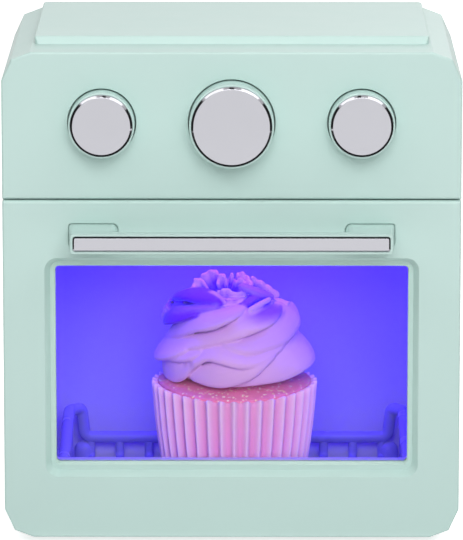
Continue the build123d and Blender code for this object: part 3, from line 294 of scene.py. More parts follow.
def glittered_cake(colour):
    """Pink-brown cake with glitter grains set in it."""
    made = Finish("glittered_cake")
    grains = made.texture("ShaderNodeTexVoronoi", scale=2600.0)
    pick = made.split("ShaderNodeSeparateColor", grains["Color"])
    lit = made.span(pick["Red"], 0.0, 1.0, start=0.90, end=0.93)
    crumb = made.blend(made.noise(700.0, detail=4.0), shade(colour, 0.72), shade(colour, 1.2))
    spark = made.blend(pick["Green"], (1.0, 0.75, 0.45), (1.0, 0.85, 0.9))
    made.paint(made.blend(lit, crumb, spark))
    made.join(made.span(lit, 0.62, 0.12), made.shader.inputs["Roughness"])
    made.bump(made.noise(1100.0, detail=4.0), 0.12 * MM, strength=0.8)
    return made.material


# Helpers for meshes

def rgb(colour):
    """A colour property as three numbers."""
    return tuple(colour)[:3]


def clamped(value, low=0.0, high=1.0):
    return max(low, min(high, value))


def ramp(value, start, run):
    """How far a value has come along a run, as a share."""
    return clamped((value - start) / run)


def ring_angles(sides):
    return [2 * math.pi * i / sides for i in range(sides)]


def outward(angle):
    """Level direction at an angle from the front."""
    return Vector((math.sin(angle), -math.cos(angle), 0.0))


def heading(run, index):
    """Where a run of points goes at one of them."""
    return run[min(index + 1, len(run) - 1)] - run[max(index - 1, 0)]


def from_end(run, index):
    """Steps to the nearer end of a run."""
    return min(index, len(run) - 1 - index)


def smooth_run(points, steps):
    """Even curve through a few points with any number of values each."""
    ends = [points[0], *points, points[-1]]
    run = []
    for a, b, c, d in zip(ends, ends[1:], ends[2:], ends[3:]):
        for step in range(steps):
            t = step / steps
            run.append(tuple(
                0.5 * (2 * q + (r - p) * t + (2 * p - 5 * q + 4 * r - s) * t * t
                       + (3 * q - p - 3 * r + s) * t ** 3)
                for p, q, r, s in zip(a, b, c, d)
            ))
    run.append(tuple(points[-1]))
    return run


def add_skin(shape, rings):
    """Faces between neighbouring rings of points."""
    for first, second in zip(rings, rings[1:]):
        for i in range(len(first)):
            j = (i + 1) % len(first)
            shape.faces.new((first[i], first[j], second[j], second[i]))


def add_closed_skin(shape, rings):
    """The same, with the first and the last ring filled in."""
    add_skin(shape, rings)
    shape.faces.new(rings[0])
    shape.faces.new(rings[-1])


def mesh_from(shape, name):
    """A mesh of a finished shape, which is let go."""
    mesh = bpy.data.meshes.new(name)
    shape.to_mesh(mesh)
    shape.free()
    return mesh


def placed(name, data):
    """An object in the scene."""
    made = bpy.data.objects.new(name, data)
    bpy.context.scene.collection.objects.link(made)
    return made


def dress(names, material):
    """Give CAD nodes a finish."""
    for name in names:
        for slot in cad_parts[name].material_slots:
            slot.material = material


def object_of(name, mesh, material, body):
    """Turn a mesh into a piece that rides on a body."""
    piece = placed(name, mesh)
    mesh.materials.append(material)
    for face in mesh.polygons:
        face.use_smooth = True
    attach(piece, body)
    for group in ("lit_by_oven", "lit_at_front"):
        bpy.data.collections[group].objects.link(piece)
    return piece


def cupcake_place(node):
    """From millimetres over a node's foot, round the cupcake's axis, to the frame."""
    low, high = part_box("cupcake_liner")
    foot = Vector(((low.x + high.x) / 2, (low.y + high.y) / 2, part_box(node)[0].z))
    return Matrix.Translation(foot) @ Matrix.Scale(MM, 4)


# Icing of the play cupcake: all lengths in millimetres, all angles from the front in degrees.

# Outline of the swirl: height over the cake and radius.
SWIRL_OUTLINE = (
    (-0.1, 12.4), (0.8, 14.0), (3.2, 15.1), (5.4, 15.4), (7.9, 14.6), (9.7, 13.9), (11.8, 13.5),
    (13.8, 13.2), (15.1, 12.4), (16.0, 11.2), (17.4, 9.8), (18.8, 8.2), (20.0, 6.4),
    (21.2, 4.2), (22.2, 1.2),
)

# Folds of the swirl: angle, height over the cake and width.
FRONT_FOLDS = {
    "right_low": (
        (-8, 1.0, 1.2), (5, 1.6, 2.0), (18, 2.3, 2.8), (29, 3.2, 4.0), (41, 4.3, 5.4),
        (56, 5.6, 6.4), (77, 6.4, 6.8), (100, 6.8, 6.4), (122, 7.6, 5.0), (140, 9.0, 3.0),
    ),
    "front_upper": (
        (-47, 2.1, 1.0), (-40, 4.0, 1.8), (-32, 5.9, 2.6), (-23, 7.3, 3.4), (-11, 7.6, 4.4),
        (5, 6.7, 4.4), (18, 6.8, 4.0), (32, 7.9, 3.2), (47, 9.0, 2.2), (60, 9.8, 1.2),
    ),
    "front_lower": (
        (-44, 1.8, 1.0), (-31, 2.5, 3.0), (-17, 3.0, 4.4), (-4, 3.6, 4.8), (10, 4.9, 4.8),
        (22, 6.3, 3.8), (37, 7.8, 2.4),
    ),
    "right_curl": (
        (-11, 9.7, 1.0), (-2, 9.1, 2.6), (12, 9.0, 3.8), (26, 9.8, 4.4), (41, 10.9, 4.9),
        (59, 12.4, 5.6), (76, 13.7, 5.8), (87, 14.8, 4.6), (82, 16.3, 2.2),
    ),
    "belly": (
        (-72, 8.0, 1.2), (-51, 8.7, 3.0), (-36, 9.5, 3.4), (-21, 10.4, 3.0), (-8, 11.2, 3.0),
        (5, 12.4, 3.8), (20, 13.7, 4.6), (36, 14.4, 4.6), (52, 15.0, 3.4), (66, 15.4, 1.6),
    ),
    "upper_band": (
        (-112, 8.0, 3.0), (-85, 9.8, 3.4), (-54, 11.8, 3.6), (-35, 13.2, 3.8), (-19, 14.0, 4.4),
        (-4, 14.9, 4.2), (9, 15.7, 3.0), (21, 16.4, 1.4),
    ),
    "left_leaf": (
        (-114, 12.4, 2.0), (-98, 13.1, 4.2), (-80, 13.5, 4.9), (-62, 14.0, 4.0),
        (-46, 14.4, 2.2), (-34, 15.0, 1.4),
    ),
    "leaf_lip": (
        (-72, 14.7, 1.2), (-57, 15.2, 2.0), (-41, 15.7, 2.2), (-25, 16.1, 2.0),
        (-10, 16.6, 1.4),
    ),
    "top_left": (
        (-120, 15.6, 2.4), (-96, 16.8, 3.8), (-66, 17.8, 4.4), (-40, 18.0, 4.4),
        (-20, 17.7, 3.4), (-4, 16.9, 2.0),
    ),
    "shoulder_lip": (
        (17, 16.1, 0.9), (29, 17.0, 1.5), (43, 17.6, 1.7), (60, 17.5, 1.7), (74, 16.6, 1.2),
    ),
    "shoulder": (
        (30, 20.0, 2.4), (51, 18.7, 3.4), (66, 17.8, 3.2), (84, 17.0, 2.4),
    ),
    "left_upper": (
        (-112, 6.0, 3.0), (-91, 5.9, 3.4), (-69, 6.1, 3.4), (-48, 6.4, 3.2), (-35, 7.2, 2.6),
        (-28, 8.2, 1.4),
    ),
    "left_lower": (
        (-112, 3.2, 3.6), (-90, 3.2, 4.8), (-74, 3.0, 5.0), (-57, 3.0, 4.6), (-46, 3.4, 3.0),
        (-38, 5.0, 1.6),
    ),
}

# How violet a fold is, partly dye and partly painted shade where the front light does not reach;
# the other front folds take the painted shade under the shoulder on the right.
FOLD_DYE_AND_PAINTED_SHADE = {
    "top_left": 1.0, "left_leaf": 1.0, "leaf_lip": 0.75, "shoulder_lip": 0.9, "shoulder": 0.6,
    "upper_band": 0.12, "right_curl": 0.08,
}

# Folds repeated on the back, and how far each is turned.
BACK_FOLDS = {
    "right_low": 180, "front_upper": 180, "front_lower": 180, "right_curl": 180, "belly": 184,
    "upper_band": 222,
}

# The swirl's axis leans to the side by LEAN, over a run of heights.
LEAN = 1.6
LEAN_RUN = (11.0, 6.0)

CORE_TOP = 17.5
CORE_SINK = 2.4
CORE_SIDES = 64

FOLD_SINK = 1.3
FOLD_STEPS = 7
FOLD_SIDES = 14
FOLD_SPREAD = 1.18
FOLD_THICK = 0.9
FOLD_THICK_GAIN = 0.34
FOLD_LIP = 0.40
# A fold's ends round off over so many steps, down to a tip.
FOLD_END_STEPS = 3.0
FOLD_TIP = 0.02

# Crown: each petal's rim and root, from the axis and the icing's foot, and the rim's roll.
CROWN = (
    (
        (
            (-7.4, 2.4, 19.0), (-6.6, 2.4, 20.2), (-5.4, 2.4, 21.1), (-4.1, 2.3, 21.4),
            (-3.3, 1.4, 20.9),
        ),
        (-3.4, 1.6, 17.6), 0.5,
    ),
    (
        (
            (-8.4, -1.2, 18.6), (-8.2, -0.4, 19.9), (-7.2, 0.2, 20.1), (-6.2, -0.8, 19.4),
            (-5.6, -1.8, 18.7),
        ),
        (-4.8, 0.4, 17.6), 0.42,
    ),
    (
        (
            (-3.4, -1.2, 19.3), (-3.2, 0.0, 20.7), (-2.4, 0.4, 21.1), (-1.8, -0.2, 20.3),
            (-1.7, -0.8, 19.2),
        ),
        (-1.9, 0.8, 17.4), 0.38,
    ),
    (
        (
            (-1.0, 1.6, 19.8), (-0.6, 1.4, 21.0), (-0.2, 1.2, 20.8),
        ),
        (-1.2, 0.8, 17.6), 0.3,
    ),
    (
        (
            (0.4, 2.6, 20.6), (1.4, 2.4, 21.0), (2.4, 1.6, 20.5), (3.3, 0.2, 19.7),
            (3.6, -1.8, 19.0),
        ),
        (0.2, 0.8, 17.4), 0.42,
    ),
    (
        (
            (0.0, -0.6, 19.4), (1.0, 0.0, 20.2), (2.0, -0.6, 19.8), (2.4, -1.8, 19.0),
        ),
        (-0.6, 0.4, 17.6), 0.36,
    ),
    (
        (
            (-3.6, -3.6, 18.3), (-2.6, -4.3, 18.7), (-1.5, -4.4, 19.0), (-0.4, -5.0, 18.4),
            (0.8, -4.8, 18.2), (2.2, -4.4, 18.3), (3.2, -3.4, 18.8),
        ),
        (-1.2, -1.2, 16.6), 0.36,
    ),
    (
        (
            (-3.4, -5.6, 17.3), (-1.6, -6.3, 17.2), (0.4, -6.6, 17.1), (2.2, -6.4, 17.3),
        ),
        (-1.0, -2.4, 15.4), 0.36,
    ),
    (
        (
            (3.4, 2.4, 20.0), (5.0, 2.4, 19.0), (6.4, 2.4, 18.2), (8.0, 2.6, 17.0),
            (9.3, 3.0, 15.9),
        ),
        (2.6, 2.0, 16.2), 0.7,
    ),
    (
        (
            (-3.0, 5.4, 18.6), (-1.4, 6.2, 18.4), (1.6, 5.8, 18.6), (3.8, 4.6, 18.8),
        ),
        (-1.0, 2.6, 16.0), 0.6,
    ),
    (
        (
            (-8.6, 3.2, 17.2), (-7.4, 5.2, 17.8), (-5.2, 6.4, 18.4), (-3.2, 6.6, 18.4),
        ),
        (-3.6, 3.0, 16.0), 0.6,
    ),
)

# Rims that lie on the swirl: their line and roll.
RIMS = (
    (
        (
            (-4.6, -6.6, 19.0), (-3.6, -7.2, 18.4), (-2.6, -8.0, 17.6), (-1.8, -8.8, 16.9),
        ),
        0.5,
    ),
    (
        (
            (7.4, -6.2, 17.4), (6.6, -7.4, 17.2), (5.2, -9.0, 16.8), (3.8, -10.2, 16.2),
            (2.8, -10.8, 15.8),
        ),
        0.6,
    ),
)

RIM_STEPS = 5
ROLL_SIDES = 10
ROLL_END_STEPS = 4.0
ROLL_TIP = 0.25
# A direction that no rim follows.
ACROSS_ROLLS = Vector((0.3, -0.9, 0.3))

# A petal starts at a share of the way from its root, sags, and its rim waves along and across.
PETAL_START, PETAL_REST = 0.18, 0.82
PETAL_ROWS = 6
PETAL_SAG = 0.7
PETAL_HALF = 0.36
RUFFLE_ALONG, RUFFLE_ALONG_PACE = 0.22, 1.25
RUFFLE_ACROSS, RUFFLE_ACROSS_PACE = Vector((0.0, -0.25, 0.1)), 0.95

# Violet, partly dye and partly painted shade where the front light does not reach: the start and
# run of heights where it sets in.
CORE_DYE_AND_PAINTED_SHADE = (11.0, 3.0)
BACK_DYE_AND_PAINTED_SHADE = (12.0, 5.0)
SHOULDER_PAINTED_SHADE = 0.85
SHOULDER_PAINTED_SHADE_HEIGHTS = (12.8, 2.2)
SHOULDER_PAINTED_SHADE_SIDE = (0.5, 5.0)
RIM_DYE_AND_PAINTED_SHADE = 0.1
# A petal's violet fades towards its rim: the paler rim is a painted highlight where the front light
# catches it.
PETAL_DYE_AND_PAINTED_SHADE, PETAL_RIM_PAINTED_HIGHLIGHT = 2.0, 2.2
DYE_AND_SHADE_NEIGHBOURS = 6
DYE_AND_SHADE_EASE = 0.05

VOXEL = 0.22
SMOOTH_PASSES = 3


def swirl_radius(height):
    """Radius of the swirl's outline at a height."""
    for (low, near), (high, far) in zip(SWIRL_OUTLINE, SWIRL_OUTLINE[1:]):
        if height <= high:
            share = (height - low) / (high - low)
            return near + (far - near) * max(0.0, share)
    return SWIRL_OUTLINE[-1][1]


def swirl_middle(height):
    """The swirl's leaning axis at a height."""
    return Vector((-LEAN * ramp(height, *LEAN_RUN), 0.0, height))


def add_core(shape):
    """Solid body under the folds."""
    rings = []
    for height, radius in SWIRL_OUTLINE:
        if height <= CORE_TOP:
            rings.append([
                shape.verts.new(swirl_middle(height) + outward(angle) * (radius - CORE_SINK))
                for angle in ring_angles(CORE_SIDES)
            ])
    add_closed_skin(shape, rings)


def add_fold(shape, points, turn):
    """One piped fold: a flattened roll on the swirl's outline, its lower lip standing proud."""
    run = smooth_run(points, FOLD_STEPS)
    outs = [outward(math.radians(angle + turn)) for angle, height, width in run]
    spots = [
        swirl_middle(height) + out * (swirl_radius(height) - FOLD_SINK)
        for out, (angle, height, width) in zip(outs, run)
    ]
    rings = []
    for index, (spot, out) in enumerate(zip(spots, outs)):
        slope = (swirl_radius(spot.z - 1.0) - swirl_radius(spot.z + 1.0)) / 2.0
        face = (out + Vector((0.0, 0.0, slope))).normalized()
        rise = heading(spots, index).normalized().cross(face).normalized()
        if rise.z < 0:
            rise = -rise
        width = run[index][2]
        round_off = math.sqrt(clamped(from_end(spots, index) / FOLD_END_STEPS, FOLD_TIP))
        half = width / 2 * FOLD_SPREAD * (0.5 + 0.5 * round_off)
        thick = (FOLD_THICK + FOLD_THICK_GAIN * width) * round_off
        loop = []
        for angle in ring_angles(FOLD_SIDES):
            up, bulge = math.cos(angle) * half, math.sin(angle) * thick / 2
            loop.append(shape.verts.new(spot + rise * up + face * (bulge - FOLD_LIP * up)))
        rings.append(loop)
    add_closed_skin(shape, rings)


def add_sheet(shape, grid, half):
    """Closed sheet of a given half thickness through a grid of points."""
    rows, columns = len(grid), len(grid[0])
    skins = {}
    for i in range(rows):
        for j in range(columns):
            along = heading([row[j] for row in grid], i)
            out = along.cross(heading(grid[i], j)).normalized() * half
            skins[i, j, 0] = shape.verts.new(grid[i][j] - out)
            skins[i, j, 1] = shape.verts.new(grid[i][j] + out)
    for i in range(rows - 1):
        for j in range(columns - 1):
            corners = ((i, j), (i + 1, j), (i + 1, j + 1), (i, j + 1))
            for side in (0, 1):
                shape.faces.new([skins[row, column, side] for row, column in corners])
    edge = [(i, 0) for i in range(rows)] + [(rows - 1, j) for j in range(1, columns)]
    edge += [(i, columns - 1) for i in range(rows - 2, -1, -1)]
    edge += [(0, j) for j in range(columns - 2, 0, -1)]
    for (i, j), (k, l) in zip(edge, edge[1:] + edge[:1]):
        shape.faces.new((skins[i, j, 0], skins[k, l, 0], skins[k, l, 1], skins[i, j, 1]))


def add_roll(shape, line, radius):
    """Round roll along a line of points, tapered at both ends."""
    rings = []
    for index, spot in enumerate(line):
        ahead = heading(line, index).normalized()
        side = ahead.cross(ACROSS_ROLLS).normalized()
        up = side.cross(ahead)
        share = min(1.0, ROLL_TIP + from_end(line, index) / ROLL_END_STEPS)
        reach = radius * math.sqrt(share)
        rings.append([
            shape.verts.new(spot + (side * math.cos(angle) + up * math.sin(angle)) * reach)
            for angle in ring_angles(ROLL_SIDES)
        ])
    add_closed_skin(shape, rings)


def add_petal(shape, rim, root, roll):
    """One ruffled petal of the crown: a cupped sheet from its root to a rolled rim."""
    line = [Vector(spot) for spot in smooth_run(rim, RIM_STEPS)]
    foot = Vector(root)
    for index, spot in enumerate(line):
        away = (spot - foot).normalized()
        along = math.sin(index * RUFFLE_ALONG_PACE)
        across = math.cos(index * RUFFLE_ACROSS_PACE)
        spot += away * RUFFLE_ALONG * along + RUFFLE_ACROSS * across
    grid = []
    for spot in line:
        column = []
        for step in range(PETAL_ROWS + 1):
            share = PETAL_START + PETAL_REST * step / PETAL_ROWS
            place = foot.lerp(spot, share)
            place.z -= PETAL_SAG * math.sin(math.pi * share)
            column.append(place)
        grid.append(column)
    add_sheet(shape, grid, PETAL_HALF)
    add_roll(shape, line, roll)


def shoulder_painted_shade(spot):
    """Painted shade: violet that gathers under the shoulder on the right, where the front light
    does not reach.
    """
    return SHOULDER_PAINTED_SHADE * ramp(spot.z, *SHOULDER_PAINTED_SHADE_HEIGHTS) * ramp(spot.x, *SHOULDER_PAINTED_SHADE_SIDE)


def note_dye_and_painted_shade(shape, dye_and_shade_notes, amount):
    """Note how violet, by dye and by painted shade, the parts added since the last note are."""
    shape.verts.ensure_lookup_table()
    for vertex in shape.verts[len(dye_and_shade_notes):]:
        dye_and_shade_notes.append((vertex.co.copy(), amount(vertex.co)))


def swirl_shape():
    """The core, the folds and the crown, and how violet each of their points is, by dye and by
    painted shade.
    """
    shape = bmesh.new()
    dye_and_shade_notes = []
    add_core(shape)
    # The core turns violet with height: painted shade where it shows in the gaps between the upper
    # folds.
    note_dye_and_painted_shade(shape, dye_and_shade_notes, lambda spot: ramp(spot.z, *CORE_DYE_AND_PAINTED_SHADE))
    for name, points in FRONT_FOLDS.items():
        add_fold(shape, points, 0.0)
        note_dye_and_painted_shade(shape, dye_and_shade_notes, lambda spot: FOLD_DYE_AND_PAINTED_SHADE.get(name, shoulder_painted_shade(spot)))
    for name, turn in BACK_FOLDS.items():
        add_fold(shape, FRONT_FOLDS[name], turn)
    note_dye_and_painted_shade(shape, dye_and_shade_notes, lambda spot: ramp(spot.z, *BACK_DYE_AND_PAINTED_SHADE))
    for rim, root, roll in CROWN:
        add_petal(shape, rim, root, roll)
        foot = Vector(root)
        reach = (Vector(rim[len(rim) // 2]) - foot).length
        # Violet at a petal's root, paling towards the rim as a painted highlight.
        note_dye_and_painted_shade(shape, dye_and_shade_notes, lambda spot: clamped(
            PETAL_DYE_AND_PAINTED_SHADE - PETAL_RIM_PAINTED_HIGHLIGHT * (spot - foot).length / reach
        ))
    for rim, roll in RIMS:
        add_roll(shape, [Vector(spot) for spot in smooth_run(rim, RIM_STEPS)], roll)
    note_dye_and_painted_shade(shape, dye_and_shade_notes, lambda spot: RIM_DYE_AND_PAINTED_SHADE)
    bmesh.ops.recalc_face_normals(shape, faces=shape.faces)
    return shape, dye_and_shade_notes


def run_together(rough):
    """One soft surface round all that overlaps in a rough mesh."""
    holder = placed("swirl_rough", rough)
    remesh = holder.modifiers.new("remesh", "REMESH")
    remesh.mode = "VOXEL"
    remesh.voxel_size = VOXEL
    smooth = holder.modifiers.new("smooth", "SMOOTH")
    smooth.factor = 0.5
    smooth.iterations = SMOOTH_PASSES
    bpy.context.view_layer.update()
    graph = bpy.context.evaluated_depsgraph_get()
    mesh = bpy.data.meshes.new_from_object(holder.evaluated_get(graph))
    bpy.data.objects.remove(holder)
    mesh.name = "icing"
    return mesh


def carry_dye_and_painted_shade(mesh, dye_and_shade_notes):
    """Give a mesh its violet, dye and painted shade, by the nearest of the points noted."""
    near = KDTree(len(dye_and_shade_notes))
    for index, (spot, amount) in enumerate(dye_and_shade_notes):
        near.insert(spot, index)
    near.balance()
    dye = mesh.attributes.new("dye", "FLOAT", "POINT")
    for index, vertex in enumerate(mesh.vertices):
        found = [
            (dye_and_shade_notes[k][1], 1.0 / (DYE_AND_SHADE_EASE + gap) ** 2)
            for spot, k, gap in near.find_n(vertex.co, DYE_AND_SHADE_NEIGHBOURS)
        ]
        dye.data[index].value = sum(a * w for a, w in found) / sum(w for a, w in found)


def swirl_mesh():
    """Icing: folds, body and crown run together."""
    shape, dye_and_shade_notes = swirl_shape()
    mesh = run_together(mesh_from(shape, "swirl_rough"))
    carry_dye_and_painted_shade(mesh, dye_and_shade_notes)
    return mesh


# Liner and cake of the play cupcake, in millimetres.

FRONT_DIP = 1.1

# Room that the liner leaves inside its node's box.
LINER_SIDE_ROOM = 0.1
LINER_TOP_ROOM = 0.25
LINER_FOOT_R = 14.4
LINER_WALL = 0.8
LINER_LEVELS = 16
LINER_BOW = 0.35
LIP_RISE = 0.12
PLEATS = 38
PLEAT_POINTS = 16
PLEAT_DEPTH = 1.15
PLEAT_SHARPNESS = 1.5
# Pleats are spaced and sunk a little unevenly.
PLEAT_SWAY = 0.25
PLEAT_DRIFT = 0.10
RIM_WAVE = 0.5

CAKE_FOOT_R = 12.9
CAKE_RIM_R = 15.9
CAKE_SIDES = 160
CAKE_STEPS = 17
CAKE_LUMP = 0.14
CAKE_LUMP_SCALE = 0.5
# How far the cake reaches into the icing.
CAKE_OVER = 0.25
# Powers that round the cake's dome.
DOME_SIDE = 0.62
DOME_TOP = 0.9
WELD = 1e-4


def front_dip(angle):
    """How much lower the cake and its liner stand towards the front."""
    return FRONT_DIP * max(0.0, math.cos(angle)) ** 2


def pleated_cup(height, rim_r):
    """Pleated liner with rounded pleats, a scalloped rim and a closed floor."""
    shape = bmesh.new()
    # How far a point stands on a pleat's crest; it lays on the painted highlight of the crests.
    crest = shape.verts.layers.float.new("crest")

    def ring(share, inner, lift):
        bow = LINER_BOW * math.sin(math.pi * share)
        radius = LINER_FOOT_R + (rim_r - LINER_FOOT_R) * share + bow
        loop = []
        for angle in ring_angles(PLEATS * PLEAT_POINTS):
            phase = PLEATS * angle + PLEAT_SWAY * math.sin(3 * angle)
            fold = (0.5 + 0.5 * math.cos(phase)) ** PLEAT_SHARPNESS
            drift = noise.noise(Vector((math.cos(angle) * 3, math.sin(angle) * 3, 7.0)))
            sunk = PLEAT_DEPTH * (1.0 + PLEAT_DRIFT * drift) * (1 - fold)
            reach = radius - sunk - inner
            wave = RIM_WAVE * (fold - 0.4) * share ** 8 - front_dip(angle) * share ** 3
            vertex = shape.verts.new((
                math.sin(angle) * reach, -math.cos(angle) * reach, height * share + lift + wave
            ))
            vertex[crest] = fold
            loop.append(vertex)
        return loop

    outside = [ring(i / LINER_LEVELS, 0.0, 0.0) for i in range(LINER_LEVELS + 1)]
    lip = [ring(1.0, LINER_WALL * share, LIP_RISE) for share in (0.25, 0.75)]
    inside = [ring(i / LINER_LEVELS, LINER_WALL, 0.0) for i in range(LINER_LEVELS, 1, -1)]
    rings = outside + lip + inside
    add_skin(shape, rings)
    shape.faces.new(rings[0][::-1])
    shape.faces.new(rings[-1])
    bmesh.ops.recalc_face_normals(shape, faces=shape.faces)
    return mesh_from(shape, "liner")


def cake_mesh(rim, top):
    """Moulded cake: tapered side, rounded shoulder and a slightly lumpy top."""
    shape = bmesh.new()
    profile = [(0.0, 0.0), (CAKE_FOOT_R, 0.0), (CAKE_FOOT_R, 0.3)]
    profile += [(CAKE_RIM_R - 0.6, rim - 1.5), (CAKE_RIM_R - 0.1, rim - 0.6)]
    for step in range(CAKE_STEPS + 1):
        turn = step / CAKE_STEPS * math.pi / 2
        radius = CAKE_RIM_R * math.cos(turn) ** DOME_SIDE
        profile.append((radius, rim + (top - rim) * math.sin(turn) ** DOME_TOP))
    rings = []
    for radius, height in profile:
        loop = []
        for angle in ring_angles(CAKE_SIDES):
            x, y = math.sin(angle) * radius, -math.cos(angle) * radius
            lump = dip = 0.0
            if height > rim - 1:
                lump = CAKE_LUMP * noise.noise(Vector(
                    (x * CAKE_LUMP_SCALE, y * CAKE_LUMP_SCALE, height * CAKE_LUMP_SCALE)
                ))
            if height > rim - 2:
                dip = front_dip(angle) * (radius / CAKE_RIM_R) ** 2
            loop.append(shape.verts.new((x, y, height + lump - dip)))
        rings.append(loop)
    add_skin(shape, rings)
    bmesh.ops.remove_doubles(shape, verts=shape.verts, dist=WELD)
    bmesh.ops.recalc_face_normals(shape, faces=shape.faces)
    return mesh_from(shape, "cake")


# Settings

def colour_setting(name, default, description):
    return bpy.props.FloatVectorProperty(
        name=name, description=description, default=default,
        subtype="COLOR", size=3, min=0.0, max=1.0,
    )


def length_setting(name, default, description):
    return bpy.props.FloatProperty(
        name=name, description=description, default=default, unit="LENGTH", precision=5
    )


def number_setting(name, default, description):
    return bpy.props.FloatProperty(name=name, description=description, default=default)


class CasingSettings(bpy.types.PropertyGroup):
    """Colours and skin of the moulded and plated parts."""

    mint: colour_setting("Mint", (0.545, 0.72, 0.68), "Plastic of the housing and control panel")
    door_mint: colour_setting("Door mint", (0.545, 0.72, 0.68), "Plastic of the door")
    chrome: colour_setting("Chrome", (0.375, 0.374, 0.402), "Plated caps and handle strip")
    grain: length_setting("Grain", 0.006 * MM, "Depth of the plastic's eggshell skin")
    edge: length_setting("Edge", 0.18 * MM, "Radius that eases the moulded edges")


class OvenSettings(bpy.types.PropertyGroup):
    """Cavity plastic and its violet light."""

    # The cavity plastic's lilac tint is painted violet lamp light on a pale plastic.
    plastic: colour_setting("Oven plastic", (0.62, 0.57, 0.88), "Cavity liner")
    # The tray's dark violet is painted light: the violet of the lamp and the shade in the cavity,
    # on a tray of light plastic.
    tray: colour_setting("Tray plastic", (0.36, 0.34, 0.74), "Wire-look tray")
    glow: colour_setting("Glow", (0.097, 0.029, 1.0), "Colour of the lamps")
    power: number_setting("Lamp power", 0.034, "Power of the cavity lamp")


class CupcakeSettings(bpy.types.PropertyGroup):
    """Play cupcake."""

    # The groove colour holds painted shade and the crest colour a painted highlight on the pleats.
    liner: colour_setting("Liner", (0.82, 0.36, 0.70), "Grooves of the pleated liner")
    crest: colour_setting("Liner crests", (0.88, 0.62, 0.92), "Ridges of the pleated liner")
    cake: colour_setting("Cake", (0.90, 0.23, 0.47), "Cake under the icing")
    icing: colour_setting("Icing", (0.72, 0.44, 0.90), "Piped icing")
    # Violet of the top folds, partly dye and partly painted shade where the front light does not
    # reach.
    dye: colour_setting("Icing dye", (0.16, 0.012, 0.90), "Violet of the top folds")


class StudioSettings(bpy.types.PropertyGroup):
    """Floor, lamps and camera."""

    floor: colour_setting("Floor", (0.86, 0.86, 0.86), "Floor colour")
    ambient: number_setting("Ambient", 0.16, "Strength of the soft surroundings")
    key: number_setting("Key", 1.0, "Power of the lamp at the upper right")
    fill: number_setting("Fill", 0.7, "Power of the lamp at the upper left")
    top: number_setting("Top", 1.8, "Power of the lamp overhead")
    front: number_setting("Front", 6.6, "Power of the low lamp at the front")
    rear: number_setting("Rear", 5.0, "Power of the lamp behind the part")
    treat: number_setting("Treat", 7.0, "Power of the lamp that only reaches the cupcake")
    lens: number_setting("Lens", 338.65, "Focal length of the camera in millimetres")


GROUPS = {
    "fryer_casing": CasingSettings,
    "fryer_oven": OvenSettings,
    "fryer_cupcake": CupcakeSettings,
    "fryer_studio": StudioSettings,
}


def settings(name):
    return getattr(bpy.context.scene, "fryer_" + name)


# Pieces

MINT_NODES = (
    "housing_shell", "control_panel", "rear_cover", "battery_door",
    "knob_left", "knob_right", "knob_center",
)
DOOR_NODES = ("door_panel", "door_inner_frame", "handle_grip")
CHROME_NODES = ("handle_trim", "knob_left_cap", "knob_right_cap", "knob_center_cap")
STEEL_NODES = (
    "tub_screws", "panel_screws", "rear_screws", "board_screws", "led_board_screws",
    "battery_door_screw", "frame_screws", "handle_screws", "hinge_pins",
    "left_knob_screw", "right_knob_screw", "center_knob_screw",
)
OVEN_NODES = (
    "oven_tub", "fry_basket", "cupcake_liner", "cupcake_cake", "cupcake_frosting",
    "light_lens", "window_pane",
)
SPRING_NODES = ("left_click_spring", "right_click_spring", "battery_contacts")
RUNNING_NODES = ("left_click_wheel", "right_click_wheel", "center_plunger")

CHIP_GLOW = 12.0
LENS_GLOW = 2.5
# Size of the cavity's lamp over the lens's, and its drop below the lens.
LAMP_SPREAD = (1.4, 1.2)
LAMP_DROP = 0.3 * MM


class FRYER_OT_casing(bpy.types.Operator):
    """Finish the mint mouldings"""

    bl_idname = "fryer.casing"
    bl_label = "Casing"

    def execute(self, context):
        casing = settings("casing")
        for name, colour, nodes in (
            ("mint_plastic", casing.mint, MINT_NODES),
            ("door_plastic", casing.door_mint, DOOR_NODES),
        ):
            dress(nodes, moulded_plastic(name, rgb(colour), 0.30, 0.40, casing.grain, casing.edge))
        return {"FINISHED"}


class FRYER_OT_chrome(bpy.types.Operator):
    """Plate the knob caps and the handle strip"""

    bl_idname = "fryer.chrome"
    bl_label = "Chrome"

    def execute(self, context):
        dress(CHROME_NODES, plated_chrome("plated_chrome", rgb(settings("casing").chrome)))
        return {"FINISHED"}


class FRYER_OT_window(bpy.types.Operator):
    """Finish the clear window pane"""

    bl_idname = "fryer.window"
    bl_label = "Window pane"

    def execute(self, context):
        dress(("window_pane",), clear_plastic("clear_pane", (0.98, 0.98, 1.0), 0.0, 0.02))
        return {"FINISHED"}


